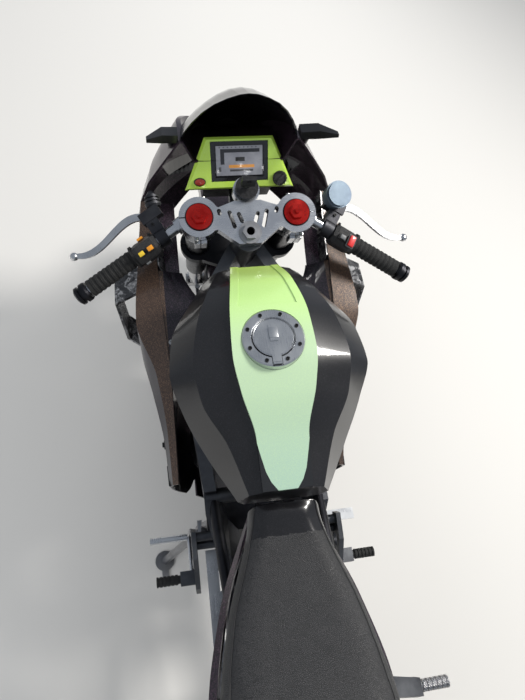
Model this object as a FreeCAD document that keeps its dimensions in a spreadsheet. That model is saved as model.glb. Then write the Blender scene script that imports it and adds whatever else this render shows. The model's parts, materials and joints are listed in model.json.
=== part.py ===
# Sport bike: a faired road motorcycle, at rest on its side stand.
# Millimetres. The bike is drawn upright, with X to the right, Y forward from the rear axle
# and Z up from the ground, and is leaned over on its stand at the end.
import FreeCAD, Part
import Sketcher
import math
import os

os.makedirs("parts", exist_ok=True)
doc = FreeCAD.newDocument("sport_bike")

# Driving dimensions

SIZES = [
    ("wheelbase", 1400),
    ("rake_angle", 24),
    ("fork_offset", 35.2),
    ("steering_lock", 27),
    ("lean_angle", 10),
    ("running_gap", 5),
    ("seat_gap", 0.3),
    # tyres and wheels
    ("front_tyre_r", 300),
    ("front_tyre_w", 120),
    ("front_crown_r", 64),
    ("rear_tyre_r", 312),
    ("rear_tyre_w", 160),
    ("rear_crown_r", 84),
    ("tyre_wall", 10),
    ("bead_r", 216),
    ("front_rim_w", 89),
    ("rear_rim_w", 114),
    ("rim_flange", 9),
    ("rim_lip", 5),
    ("rim_wall", 7),
    ("rim_well", 15),
    ("hub_r", 34),
    ("front_hub_w", 96),
    ("rear_hub_w", 120),
    ("web_w", 24),
    ("spoke_w", 22),
    ("bearing_gap", 0.3),
    ("axle_r", 12),
    ("axle_bore_r", 8),
    # brakes and drive
    ("front_disc_r", 150),
    ("rear_disc_r", 110),
    ("disc_t", 5),
    ("disc_band", 34),
    ("front_disc_x", 64.5),
    ("rear_disc_x", 74.5),
    ("caliper_gap", 1.5),
    ("chain_pitch", 15.875),
    ("chain_x", 98),
    ("chain_links", 112),
    ("drive_rise", 58),
    ("chain_play", 0.15),
    ("rear_teeth", 44),
    ("front_teeth", 15),
    ("chain_roller_r", 5.1),
    ("chain_plate_d", 14),
    ("chain_plate_t", 1.6),
    ("chain_inner_w", 11),
    ("sprocket_t", 7),
    # fork and head
    ("fork_half", 95),
    ("fork_outer_r", 27),
    ("fork_inner_r", 20.5),
    ("fork_outer_low", 215),
    ("fork_outer_top", 662),
    ("fork_inner_top", 245),
    ("fork_lug_r", 24),
    ("fork_lug_half", 22),
    ("cap_flange_r", 25),
    ("clamp_wall", 12),
    ("top_clamp_low", 640),
    ("top_clamp_t", 24),
    ("low_clamp_low", 424),
    ("low_clamp_t", 31),
    ("stem_r", 15),
    ("stem_bore_r", 8),
    ("head_tube_r", 31),
    ("head_gap", 1),
    ("clamp_slot_w", 8),
    # handlebars
    ("clip_ring_t", 38),
    ("clip_ring_wall", 9),
    ("bar_r", 11),
    ("bar_start_x", 122),
    ("bar_end_x", 322),
    ("bar_sweep", 30),
    ("bar_droop", 9.5),
    ("grip_length", 112),
    ("grip_r", 17),
    ("grip_rib", 1.2),
    ("lever_reach", 62),
    ("lever_t", 9),
    # body
    ("panel_wall", 4),
    ("tank_skin", 6),
    ("trough_edge", 11),
    ("trough_depth", 2.5),
    ("cap_y", 838),
    ("cap_z", 952),
    ("cap_ring_r", 52),
    ("cap_lid_r", 34),
    ("neck_bore_r", 22),
    ("neck_r", 28),
    ("screen_wall", 3),
    ("display_w", 118),
    ("display_t", 12),
    # swingarm and footrests
    ("pivot_y", 555),
    ("pivot_z", 365),
    ("pivot_r", 22),
    ("arm_in_x", 112),
    ("arm_w", 26),
    ("spool_y", 70),
    ("spool_r", 14),
    ("spool_length", 22),
    ("peg_y", 526),
    ("peg_z", 420),
    ("peg_root_x", 197),
    ("peg_length", 52),
    ("peg_r", 11),
    # engine
    ("engine_half_w", 150),
    ("cover_depth", 24),
    ("clutch_cover_r", 75),
    ("alternator_cover_r", 62),
    # side stand
    ("stand_x", -128),
    ("stand_y", 640),
    ("stand_z", 262),
    ("stand_leg_r", 11),
    ("stand_foot_x", -256),
    ("stand_foot_y", 600),
]

sheet = doc.addObject("Spreadsheet::Sheet", "sizes")
for row, (alias, value) in enumerate(SIZES, 1):
    sheet.set("A%d" % row, alias)
    sheet.set("B%d" % row, str(value))
    sheet.setAlias("B%d" % row, alias)
doc.recompute()


def size(alias):
    return float(sheet.get(alias))


def V(x, y, z):
    return FreeCAD.Vector(x, y, z)


X_AXIS = V(1, 0, 0)
Y_AXIS = V(0, 1, 0)
Z_AXIS = V(0, 0, 1)
ORIGIN = V(0, 0, 0)


def turn(axis, degrees):
    return FreeCAD.Rotation(axis, degrees)


def place(base, rotation=FreeCAD.Rotation()):
    return FreeCAD.Placement(base, rotation)


# Steering frame: its Z is the steering axis, its origin the point of that axis beside the axle

rake = math.radians(size("rake_angle"))
steer_origin = V(
    0,
    size("wheelbase") - size("fork_offset") * math.cos(rake),
    size("front_tyre_r") - size("fork_offset") * math.sin(rake),
)
steer_place = place(steer_origin, turn(X_AXIS, size("rake_angle")))


def in_steering(x, n, w):
    """Bike position of a point given beside, before and along the steering axis."""
    return steer_place.multVec(V(x, n, w))


# Helpers for document objects

nodes = {}


def node(name, obj):
    """Names the object that is one sub-part; its label is its file's name."""
    obj.Label = name
    nodes[name] = obj
    return obj


def feature(name, shape, placement=None):
    obj = doc.addObject("Part::Feature", name)
    obj.Shape = shape if shape.Placement.isIdentity() else Part.makeCompound([shape])
    if placement is not None:
        obj.Placement = placement
    return obj


def cylinder(name, radius, height, base, rotation=FreeCAD.Rotation()):
    """Part::Cylinder whose radius and height are formulas on the sheet."""
    obj = doc.addObject("Part::Cylinder", name)
    obj.setExpression("Radius", radius)
    obj.setExpression("Height", height)
    obj.Placement = place(base, rotation)
    return obj


def box(name, length, width, height, base, rotation=FreeCAD.Rotation()):
    obj = doc.addObject("Part::Box", name)
    obj.setExpression("Length", length)
    obj.setExpression("Width", width)
    obj.setExpression("Height", height)
    obj.Placement = place(base, rotation)
    return obj


def cut(name, base, tool):
    obj = doc.addObject("Part::Cut", name)
    obj.Base = base
    obj.Tool = tool
    return obj


def fuse(name, *shapes):
    obj = doc.addObject("Part::MultiFuse", name)
    obj.Shapes = list(shapes)
    return obj


def group(name, *links):
    """Part::Compound of like pieces that don't touch one another."""
    obj = doc.addObject("Part::Compound", name)
    obj.Links = list(links)
    return obj


TO_RIGHT = turn(Y_AXIS, 90)
TO_LEFT = turn(Y_AXIS, -90)


# Helpers for sketched bodies

def origin_plane(body, role):
    return next(item for item in body.Origin.OriginFeatures if item.Role == role)


def sketch_on(body, role, name):
    sketch = body.newObject("Sketcher::SketchObject", name)
    sketch.AttachmentSupport = (origin_plane(body, role), [""])
    sketch.MapMode = "FlatFace"
    return sketch


def value_of(formula):
    """Number that a formula on the sheet has now, for the sketch's first shape."""
    names = {alias: size(alias) for alias, _ in SIZES}
    total = 0.0
    for sign, term in formula:
        total += sign * (names[term] if isinstance(term, str) else term)
    return total


def text_of(formula):
    parts = []
    for sign, term in formula:
        parts.append("%+g * %s" % (sign, "sizes." + term if isinstance(term, str) else repr(float(term))))
    return " ".join(parts)


def outline(sketch, points):
    """Closed outline of straight lines. Each corner is a pair of formulas, and each formula is
    a list of (factor, size name or number) terms, so every corner is bound to the sheet."""
    first = sketch.GeometryCount
    count = len(points)
    spots = [V(value_of(across), value_of(up), 0) for across, up in points]
    for i in range(count):
        sketch.addGeometry(Part.LineSegment(spots[i], spots[(i + 1) % count]))
    for i in range(count):
        after = first + (i + 1) % count
        sketch.addConstraint(Sketcher.Constraint("Coincident", first + i, 2, after, 1))
    for i, (across, up) in enumerate(points):
        for kind, formula, here in (("DistanceX", across, spots[i].x), ("DistanceY", up, spots[i].y)):
            index = sketch.addConstraint(Sketcher.Constraint(kind, -1, 1, first + i, 1, here))
            sketch.setExpression("Constraints[%d]" % index, text_of(formula))


def circle(sketch, across, up, radius):
    first = sketch.GeometryCount
    centre = V(value_of(across), value_of(up), 0)
    sketch.addGeometry(Part.Circle(centre, Z_AXIS, value_of(radius)))
    index = sketch.addConstraint(Sketcher.Constraint("Radius", first, value_of(radius)))
    sketch.setExpression("Constraints[%d]" % index, text_of(radius))
    for kind, formula, here in (("DistanceX", across, centre.x), ("DistanceY", up, centre.y)):
        index = sketch.addConstraint(Sketcher.Constraint(kind, -1, 1, first, 3, here))
        sketch.setExpression("Constraints[%d]" % index, text_of(formula))


def revolve_sketch(body, sketch, name):
    revolution = body.newObject("PartDesign::Revolution", name)
    revolution.Profile = sketch
    revolution.ReferenceAxis = (sketch, ["H_Axis"])
    revolution.Angle = 360
    return revolution


def pad(body, sketch, name, length, both_ways=False, backwards=False):
    item = body.newObject("PartDesign::Pad", name)
    item.Profile = sketch
    item.setExpression("Length", length)
    item.SideType = "Symmetric" if both_ways else "One side"
    item.Reversed = backwards
    return item


def pocket_through(body, sketch, name):
    item = body.newObject("PartDesign::Pocket", name)
    item.Profile = sketch
    item.SideType = "Symmetric"
    item.Type = "ThroughAll"
    return item


def around(body, sketch, feature_item, name, count):
    pattern = body.newObject("PartDesign::PolarPattern", name)
    pattern.Originals = [feature_item]
    pattern.Axis = (sketch, ["N_Axis"])
    pattern.Angle = 360
    pattern.Occurrences = count
    body.Tip = pattern
    return pattern


# Helpers for lofted forms

def polygon(points):
    return Part.makePolygon([V(*p) for p in points] + [V(*points[0])])


def steady_slopes(params, values):
    """Slopes of a curve through the values that never swings past them."""
    steps = [b - a for a, b in zip(params, params[1:])]
    rises = [(b - a) / step for a, b, step in zip(values, values[1:], steps)]
    slopes = [rises[0]]
    for before, after, step, next_step in zip(rises, rises[1:], steps, steps[1:]):
        if before * after <= 0:
            slopes.append(0.0)
        else:
            first, second = 2 * next_step + step, next_step + 2 * step
            slopes.append((first + second) / (first / before + second / after))
    return slopes + [rises[-1]]


def feature_line(points, params):
    """Curve through one corner of every section."""
    if len(points) == 2:
        return Part.LineSegment(*points).toShape()
    slopes = [steady_slopes(params, [getattr(point, name) for point in points]) for name in "xyz"]
    curve = Part.BSplineCurve()
    curve.interpolate(Points=points, Parameters=params, Tangents=[V(*way) for way in zip(*slopes)],
                      TangentFlags=[True] * len(points), Scale=False)
    return curve.toShape()


def loft(sections, ruled=False):
    """Solid through flat sections of as many corners. Its corner lines run smoothly through the
    sections, or straight from one to the next if it is ruled."""
    if ruled:
        solid = Part.makeLoft([polygon(section) for section in sections], True, True)
    else:
        count = len(sections[0])
        params = [0.0]
        for before, after in zip(sections, sections[1:]):
            apart = sum((V(*a) - V(*b)).Length for a, b in zip(before, after)) / count
            params.append(params[-1] + apart)
        lines = [feature_line([V(*section[k]) for section in sections], params) for k in range(count)]
        faces = [Part.makeRuledSurface(lines[k], lines[(k + 1) % count]) for k in range(count)]
        faces += [Part.Face(polygon(section)) for section in (sections[0], sections[-1])]
        shell = Part.makeShell(faces)
        shell.sewShape()
        solid = Part.makeSolid(shell)
    if solid.Volume < 0:
        solid.reverse()
    return solid


def left_of(shape):
    """The same piece on the left side."""
    return shape.mirror(ORIGIN, X_AXIS)


def inset_line(line, wall):
    """Open line of (x, z) points moved sideways by a wall, to the right of its direction."""
    count = len(line)
    moved = []
    for i, (x, z) in enumerate(line):
        ways = []
        for a, b in ((i - 1, i), (i, i + 1)):
            if a >= 0 and b < count:
                dx, dz = line[b][0] - line[a][0], line[b][1] - line[a][1]
                length = math.hypot(dx, dz)
                ways.append((dz / length, -dx / length))
        nx = sum(way[0] for way in ways) / len(ways)
        nz = sum(way[1] for way in ways) / len(ways)
        scale = wall / (nx * nx + nz * nz)
        moved.append((x + nx * scale, z + nz * scale))
    return moved


def skin(stations, wall):
    """Panel of even wall. A station is (y at z0, slope, z0, outer line), and the wall lies to
    the right of the line's direction."""
    sections = []
    for y0, slope, z0, line in stations:
        ring = line + inset_line(line, wall)[::-1]
        sections.append([(x, y0 + slope * (z - z0), z) for x, z in ring])
    return loft(sections)


def arch(half):
    """Whole arch from its right half, which starts at the middle line."""
    return [(-x, z) for x, z in half[::-1] if x > 0] + half


def beam(stations):
    """Bar through boxes: a station is (centre, half width in x, half depth, cut), where the cut
    is 'y' for a section across Y and 'z' for one across Z."""
    sections = []
    for (x, y, z), half_w, half_d, across in stations:
        if across == "y":
            corners = [(-1, -1), (1, -1), (1, 1), (-1, 1)]
            sections.append([(x + a * half_w, y, z + b * half_d) for a, b in corners])
        else:
            corners = [(-1, 1), (1, 1), (1, -1), (-1, -1)]
            sections.append([(x + a * half_w, y + b * half_d, z) for a, b in corners])
    return loft(sections, ruled=True)


def rod(start, end, radius):
    way = end - start
    return Part.makeCylinder(radius, way.Length, start, way)



# Tyres: an arched tread, round shoulders and open beads on the rim

front_axle_spot = V(0, size("wheelbase"), size("front_tyre_r"))
rear_axle_spot = V(0, 0, size("rear_tyre_r"))


def tyre_side(tyre_r, tyre_w, crown_r, rim_w, inwards):
    """Points of one side, from the bead to the middle of the tread."""
    edge = size(tyre_w) / 2 - inwards
    top = size(tyre_r) - inwards
    crown = size(crown_r) - inwards
    shoulder = top - crown + math.sqrt(crown * crown - edge * edge)
    foot = size(rim_w) / 2 - size("seat_gap") - inwards
    low = size("bead_r") + size("seat_gap")
    rim_top = size("bead_r") + size("rim_flange") + size("seat_gap")
    chord = V(edge - foot, 0, shoulder - rim_top)
    belly = V(foot, 0, rim_top) + chord * 0.5 + V(chord.z, 0, -chord.x) * 0.15
    return V(foot, 0, low), V(foot, 0, rim_top), belly, V(edge, 0, shoulder), V(0, 0, top)


def opposite(point):
    return V(-point.x, point.y, point.z)


def tyre(name, tyre_r, tyre_w, crown_r, rim_w, centre):
    edges = []
    ends = []
    for inwards in (0, size("tyre_wall")):
        low, rim_top, belly, edge, top = tyre_side(tyre_r, tyre_w, crown_r, rim_w, inwards)
        edges.append(Part.LineSegment(low, rim_top).toShape())
        edges.append(Part.Arc(rim_top, belly, edge).toShape())
        edges.append(Part.Arc(edge, top, opposite(edge)).toShape())
        edges.append(Part.Arc(opposite(edge), opposite(belly), opposite(rim_top)).toShape())
        edges.append(Part.LineSegment(opposite(rim_top), opposite(low)).toShape())
        ends.append(low)
    edges.append(Part.LineSegment(ends[0], ends[1]).toShape())
    edges.append(Part.LineSegment(opposite(ends[0]), opposite(ends[1])).toShape())
    face = Part.Face(Part.Wire(Part.sortEdges(edges)[0]))
    solid = face.revolve(ORIGIN, X_AXIS, 360)
    return node(name, feature(name, solid, place(centre)))


tyre("front_tyre", "front_tyre_r", "front_tyre_w", "front_crown_r", "front_rim_w", front_axle_spot)
tyre("rear_tyre", "rear_tyre_r", "rear_tyre_w", "rear_crown_r", "rear_rim_w", rear_axle_spot)


# Rims: a barrel with a drop centre, a hub and five split spokes left between windows

def rim(name, rim_w, hub_w, centre):
    body = doc.addObject("PartDesign::Body", name)
    across = [(0.5, rim_w)]
    lip = [(0.5, rim_w), (1, "rim_lip")]
    ledge = [(0.5, rim_w), (-18, 1)]
    ramp = [(0.5, rim_w), (-28, 1)]
    ramp_start = [(0.5, rim_w), (-16, 1)]
    ramp_end = [(0.5, rim_w), (-26, 1)]
    top = [(1, "bead_r"), (1, "rim_flange")]
    seat = [(1, "bead_r")]
    well = [(1, "bead_r"), (-1, "rim_well")]
    under_seat = [(1, "bead_r"), (-1, "rim_wall")]
    under_well = [(1, "bead_r"), (-1, "rim_well"), (-1, "rim_wall")]
    web = [(0.5, "web_w")]
    hub = [(0.5, hub_w)]
    half = [
        (lip, top), (across, top), (across, seat), (ledge, seat), (ramp, well),
    ]
    inner_half = [
        (lip, under_seat), (ramp_start, under_seat), (ramp_end, under_well), (web, under_well),
        (web, [(1, "hub_r"), (22, 1)]), (hub, [(1, "hub_r")]),
        (hub, [(1, "axle_r"), (1, "bearing_gap")]),
    ]

    def other(points):
        return [([(-sign, term) for sign, term in x], z) for x, z in points]

    profile = sketch_on(body, "XZ_Plane", name + "_profile")
    outline(profile, other(half) + half[::-1] + inner_half + other(inner_half)[::-1])
    revolve_sketch(body, profile, name + "_turned")
    windows(body, name)
    body.Placement = place(centre)
    return node(name, body)


def windows(body, name):
    """Cuts the openings between the spokes: a wide one per spoke pair, a slim one inside it."""
    inner_r = size("hub_r") + 12
    outer_r = size("bead_r") - size("rim_well") - size("rim_wall")
    spoke = size("spoke_w")
    for label, middle, inner, half_inner, half_outer in (
        ("wide", 0, inner_r, 12, 20), ("slim", 36, inner_r + 40, 3.5, 10.5),
    ):
        sketch = sketch_on(body, "YZ_Plane", name + "_" + label)
        corners = []
        for radius, half_angle in ((inner, -half_inner), (outer_r, -half_outer),
                                   (outer_r, half_outer), (inner, half_inner)):
            angle = math.radians(90 + middle + half_angle)
            corners.append(V(radius * math.cos(angle), radius * math.sin(angle), 0))
        peak = math.radians(90 + middle)
        crest = V(outer_r * math.cos(peak), outer_r * math.sin(peak), 0)
        foot = V((inner + spoke * 0.2) * math.cos(peak), (inner + spoke * 0.2) * math.sin(peak), 0)
        sketch.addGeometry(Part.LineSegment(corners[0], corners[1]))
        sketch.addGeometry(Part.Arc(corners[1], crest, corners[2]))
        sketch.addGeometry(Part.LineSegment(corners[2], corners[3]))
        sketch.addGeometry(Part.Arc(corners[3], foot, corners[0]))
        window = pocket_through(body, sketch, name + "_" + label + "_window")
        around(body, sketch, window, name + "_" + label + "_windows", 5)


rim("front_rim", "front_rim_w", "front_hub_w", front_axle_spot)
rim("rear_rim", "rear_rim_w", "rear_hub_w", rear_axle_spot)


# Brake discs: a swept band with drill holes, and a carrier that seats on the hub

def brake_disc(name, disc_r, disc_x, hub_half, side):
    """Body about its own X axis: the band lies at disc_x, the carrier reaches in to the hub."""
    body = doc.addObject("PartDesign::Body", name)
    bore = [(1, "axle_r"), (8, 1)]
    carrier_r = [(1, "hub_r"), (14, 1)]
    face = [(side, disc_x), (side * 0.5, "disc_t")]
    back = [(side, disc_x), (-side * 0.5, "disc_t")]
    on_hub = [(side * 0.5, hub_half), (side, "seat_gap")]
    profile = sketch_on(body, "XZ_Plane", name + "_profile")
    outline(profile, [
        (on_hub, bore), (face, bore), (face, [(1, disc_r)]), (back, [(1, disc_r)]),
        (back, carrier_r), (on_hub, [(1, "hub_r"), (-2, 1)]),
    ])
    revolve_sketch(body, profile, name + "_turned")
    drawn_r = size(disc_r)
    band = size("disc_band")
    holes = sketch_on(body, "YZ_Plane", name + "_holes")
    for radius, angle in ((drawn_r - band * 0.25, 0), (drawn_r - band * 0.5, 10),
                          (drawn_r - band * 0.75, 20)):
        spot = V(radius * math.cos(math.radians(angle)), radius * math.sin(math.radians(angle)), 0)
        holes.addGeometry(Part.Circle(spot, Z_AXIS, 3.2))
    drilled = pocket_through(body, holes, name + "_drilled")
    around(body, holes, drilled, name + "_drilling", 12)
    slots = sketch_on(body, "YZ_Plane", name + "_slots")
    slot_in = size("hub_r") + 22
    slot_out = drawn_r - band - 4
    corners = []
    for radius, angle in ((slot_in, -18), (slot_out, -24), (slot_out, 24), (slot_in, 18)):
        corners.append(V(radius * math.cos(math.radians(angle)),
                         radius * math.sin(math.radians(angle)), 0))
    slots.addGeometry(Part.LineSegment(corners[0], corners[1]))
    slots.addGeometry(Part.Arc(corners[1], V(slot_out, 0, 0), corners[2]))
    slots.addGeometry(Part.LineSegment(corners[2], corners[3]))
    slots.addGeometry(Part.Arc(corners[3], V(slot_in, 0, 0), corners[0]))
    opened = pocket_through(body, slots, name + "_opened")
    around(body, slots, opened, name + "_openings", 6)
    return body


front_disc_right = brake_disc("front_disc_right", "front_disc_r", "front_disc_x", "front_hub_w", 1)
front_disc_left = brake_disc("front_disc_left", "front_disc_r", "front_disc_x", "front_hub_w", -1)
front_discs = node("front_discs", group("front_disc_pair", front_disc_right, front_disc_left))
front_discs.Placement = place(front_axle_spot)
rear_disc = node("rear_disc", brake_disc("rear_disc_body", "rear_disc_r", "rear_disc_x", "rear_hub_w", 1))
rear_disc.Placement = place(rear_axle_spot)


# Drive: sprockets whose teeth are cut by one valley each, and the chain round them

def pitch_radius(teeth):
    return size("chain_pitch") / 2 / math.sin(math.pi / teeth)


def sprocket_shape(teeth, thick, bore):
    """Toothed disc about X that runs just inside the chain, with valleys as round as rollers."""
    roller = size("chain_roller_r")
    chord_r = pitch_radius(teeth) * math.cos(math.pi / teeth)
    tip_r = chord_r - size("chain_plate_d") / 2 - 2 * size("bearing_gap")
    disc = Part.makeCylinder(tip_r, thick, V(-thick / 2, 0, 0), X_AXIS)
    valley = Part.makeCylinder(roller, thick * 2, V(-thick, 0, tip_r + 0.2 * roller), X_AXIS)
    valleys = []
    for i in range(teeth):
        copy = valley.copy()
        copy.rotate(ORIGIN, X_AXIS, 360.0 * i / teeth)
        valleys.append(copy)
    return disc.cut(Part.makeCompound(valleys)).cut(
        Part.makeCylinder(bore, thick * 2, V(-thick, 0, 0), X_AXIS))


rear_teeth = int(size("rear_teeth"))
front_teeth = int(size("front_teeth"))
sprocket_bore = size("axle_r") + 8
carrier_start = size("rear_hub_w") / 2 + size("seat_gap")
carrier_end = size("chain_x") - size("sprocket_t") / 2
rear_toothed = sprocket_shape(rear_teeth, size("sprocket_t"), sprocket_bore)
rear_toothed = rear_toothed.cut(Part.makeCompound([
    Part.makeCylinder(13, 60, V(-30, 82 * math.cos(a), 82 * math.sin(a)), X_AXIS)
    for a in [math.radians(60 * i) for i in range(6)]]))
rear_toothed.translate(V(-size("chain_x"), 0, 0))
carrier = Part.makeCone(size("hub_r") + 22, size("hub_r"), carrier_end - carrier_start,
                        V(-carrier_end, 0, 0), X_AXIS)
carrier = carrier.cut(Part.makeCylinder(sprocket_bore, 200, V(-150, 0, 0), X_AXIS))
node("rear_sprocket", feature("rear_sprocket", rear_toothed.fuse(carrier).removeSplitter(),
                              place(rear_axle_spot)))


def drive_centres():
    """Distance and direction between the sprockets for a whole number of links."""
    rear_r, front_r = pitch_radius(rear_teeth), pitch_radius(front_teeth)
    length = size("chain_links") * size("chain_pitch")
    apart = length / 3
    for _ in range(60):
        lean = math.asin((rear_r - front_r) / apart)
        arcs = rear_r * (math.pi + 2 * lean) + front_r * (math.pi - 2 * lean)
        apart = (length - arcs) / (2 * math.cos(lean))
    return apart, math.asin(size("drive_rise") / apart)


centre_distance, drive_slope = drive_centres()
front_sprocket_y = centre_distance * math.cos(drive_slope)
front_sprocket_z = size("rear_tyre_r") + size("drive_rise")


def chain_spot(travel):
    """Position and direction on the chain's pitch line after some travel, in the YZ plane of a
    frame whose origin is the rear axle and whose Y points to the front sprocket."""
    rear_r, front_r = pitch_radius(rear_teeth), pitch_radius(front_teeth)
    lean = math.asin((rear_r - front_r) / centre_distance)
    run = centre_distance * math.cos(lean)
    front_arc = front_r * (math.pi - 2 * lean)
    rear_arc = rear_r * (math.pi + 2 * lean)
    top = math.pi / 2 - lean
    if travel < run:
        start = (rear_r * math.cos(top), rear_r * math.sin(top))
        return start[0] + travel * math.cos(-lean), start[1] + travel * math.sin(-lean), -lean
    travel -= run
    if travel < front_arc:
        angle = top - travel / front_r
        return centre_distance + front_r * math.cos(angle), front_r * math.sin(angle), \
            angle - math.pi / 2
    travel -= front_arc
    if travel < run:
        start = (centre_distance + front_r * math.cos(-top), front_r * math.sin(-top))
        return start[0] - travel * math.cos(lean), start[1] - travel * math.sin(lean), \
            math.pi + lean
    travel -= run
    angle = -top - travel / rear_r
    return rear_r * math.cos(angle), rear_r * math.sin(angle), angle - math.pi / 2


def link_plate(start, end, thick, x):
    """Eight-cornered link from pin to pin, across X."""
    half = size("chain_plate_d") / 2
    dy, dz = end[0] - start[0], end[1] - start[1]
    length = math.hypot(dy, dz)
    along, beside = (dy / length, dz / length), (-dz / length, dy / length)
    corners = []
    for base, sign in ((start, -1), (end, 1)):
        for out, side in ((0.35, -1), (1, -0.42), (1, 0.42), (0.35, 1)):
            a, b = sign * out * half, sign * side * half
            corners.append(V(x, base[0] + along[0] * a + beside[0] * b,
                             base[1] + along[1] * a + beside[1] * b))
    face = Part.Face(Part.makePolygon(corners + corners[:1]))
    return face.extrude(V(thick, 0, 0))


def chain_shape():
    links = int(size("chain_links"))
    inner_w, plate_t, play = size("chain_inner_w"), size("chain_plate_t"), size("chain_play")
    spots = [chain_spot(i * size("chain_pitch")) for i in range(links)]
    pieces = []
    for i in range(links):
        start, end = spots[i][:2], spots[(i + 1) % links][:2]
        if i % 2:
            pieces.append(link_plate(start, end, plate_t, inner_w / 2 + play))
            pieces.append(link_plate(start, end, plate_t, -inner_w / 2 - play - plate_t))
        else:
            pieces.append(link_plate(start, end, inner_w, -inner_w / 2))
    return Part.makeCompound(pieces)


drive_place = place(V(-size("chain_x"), 0, size("rear_tyre_r")), turn(X_AXIS, math.degrees(drive_slope)))
chain_links = chain_shape()
chain_links.Placement = drive_place
front_toothed = sprocket_shape(front_teeth, size("sprocket_t"), size("axle_r"))
front_toothed.Placement = place(V(-size("chain_x"), front_sprocket_y, front_sprocket_z))
node("drive_chain", feature("drive_chain", Part.makeCompound(chain_links.Solids + [front_toothed])))


# Swingarm: two box arms on a cross tube, with axle plates and stand spools at the back

arm_x = size("arm_in_x") + size("arm_w") / 2
arm_half = size("arm_w") / 2
arm_out_x = size("arm_in_x") + size("arm_w")


shock_eye_r = 15
shock_eye_half = 20
shock_low = V(0, size("pivot_y") - 87, size("pivot_z") + 30 + shock_eye_r + size("seat_gap"))
shock_high = V(0, size("pivot_y") + 63, size("pivot_z") + 233)


def yz_block(points, half_w):
    """Solid of even width across X from its side outline."""
    face = Part.Face(Part.makePolygon([V(-half_w, y, z) for y, z in points + points[:1]]))
    return face.extrude(V(2 * half_w, 0, 0))


def swingarm_shape():
    axle_z = size("rear_tyre_r")
    pivot = (size("pivot_y"), size("pivot_z"))
    arm = beam([
        ((arm_x, -62, axle_z), arm_half, 17, "y"),
        ((arm_x, 48, axle_z + 3), arm_half, 30, "y"),
        ((arm_x, pivot[0] * 0.55, axle_z + 0.62 * (pivot[1] - axle_z)), arm_half, 36, "y"),
        ((arm_x, pivot[0] + 26, pivot[1]), arm_half, 27, "y"),
    ])
    tube = Part.makeCylinder(size("pivot_r"), 2 * arm_out_x - 4, V(-arm_out_x + 2, *pivot), X_AXIS)
    brace = Part.makeBox(2 * arm_x, 46, 44, V(-arm_x, pivot[0] - 110, pivot[1] - 14))
    lug_start = shock_eye_half + size("seat_gap")
    lug = yz_block([(shock_low.y - 20, pivot[1] + 26), (shock_low.y - 14, shock_low.z + 14),
                    (shock_low.y + 14, shock_low.z + 14), (shock_low.y + 20, pivot[1] + 26)], 3)
    lug.translate(V(lug_start + 3, 0, 0))
    spool_in = arm_out_x
    spool = Part.makeCylinder(size("spool_r") * 0.6, size("spool_length"),
                              V(spool_in, size("spool_y"), axle_z - 8), X_AXIS)
    spool = spool.fuse(Part.makeCylinder(size("spool_r"), 5, V(spool_in + size("spool_length") - 5,
                                         size("spool_y"), axle_z - 8), X_AXIS))
    right = arm.fuse(spool)
    whole = right.fuse([left_of(right), tube, brace, lug, left_of(lug)])
    axle_hole = Part.makeCylinder(size("axle_r") + size("bearing_gap"), 400, V(-200, 0, axle_z), X_AXIS)
    pivot_hole = Part.makeCylinder(size("axle_bore_r"), 400, V(-200, *pivot), X_AXIS)
    return whole.cut([axle_hole, pivot_hole]).removeSplitter()


node("swingarm", feature("swingarm", swingarm_shape()))


# Rear axle: a hollow spindle along X with a nut at each end

arm_face = "(sizes.arm_in_x + sizes.arm_w + sizes.seat_gap)"
spindle = cylinder("rear_spindle", "sizes.axle_r", "2 * " + arm_face, ORIGIN, TO_RIGHT)
spindle.setExpression("Placement.Base.x", "-" + arm_face)
head = cylinder("rear_axle_head", "sizes.axle_r + 5", "7", ORIGIN, TO_RIGHT)
head.setExpression("Placement.Base.x", arm_face)
nut = cylinder("rear_axle_nut", "sizes.axle_r + 5", "7", ORIGIN, TO_LEFT)
nut.setExpression("Placement.Base.x", "-" + arm_face)
collar_reach = "(sizes.arm_in_x - sizes.rear_hub_w / 2 - 2 * sizes.seat_gap)"
collars = []
for side, start in (("right", "sizes.rear_hub_w / 2 + sizes.seat_gap"), ("left", "-sizes.arm_in_x + sizes.seat_gap")):
    collar = cylinder("rear_collar_" + side, "sizes.axle_r + 5", collar_reach, ORIGIN, TO_RIGHT)
    collar.setExpression("Placement.Base.x", start)
    collars.append(collar)
bore = cylinder("rear_axle_bore", "sizes.axle_bore_r", "4 * " + arm_face, ORIGIN, TO_RIGHT)
bore.setExpression("Placement.Base.x", "-2 * " + arm_face)
rear_axle = node("rear_axle", cut("rear_axle_solid", fuse("rear_axle_full", spindle, head, nut, *collars), bore))
rear_axle.Placement = place(rear_axle_spot)


# Fork: upside-down legs, drawn beside the steering axis and carried by the two clamps

def leg_pair(name, make):
    """Right leg piece and its mirror image on the left, in one node at the steering frame."""
    right = make("right", "sizes.fork_half")
    left = make("left", "-sizes.fork_half")
    obj = node(name, group(name + "_pair", right, left))
    obj.Placement = steer_place
    return obj


def upright(name, radius, height, low, across, ahead="sizes.fork_offset"):
    """Cylinder along the steering axis with every measure bound to the sheet."""
    obj = cylinder(name, radius, height, ORIGIN)
    obj.setExpression("Placement.Base.x", across)
    obj.setExpression("Placement.Base.y", ahead)
    obj.setExpression("Placement.Base.z", low)
    return obj


def outer_leg(side, across):
    tube = upright("outer_tube_" + side, "sizes.fork_outer_r",
                   "sizes.fork_outer_top - sizes.fork_outer_low", "sizes.fork_outer_low", across)
    bore = upright("outer_bore_" + side, "sizes.fork_inner_r + sizes.seat_gap",
                   "sizes.fork_inner_top - sizes.fork_outer_low + 12",
                   "sizes.fork_outer_low - 10", across)
    return cut("outer_leg_" + side, tube, bore)


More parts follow.
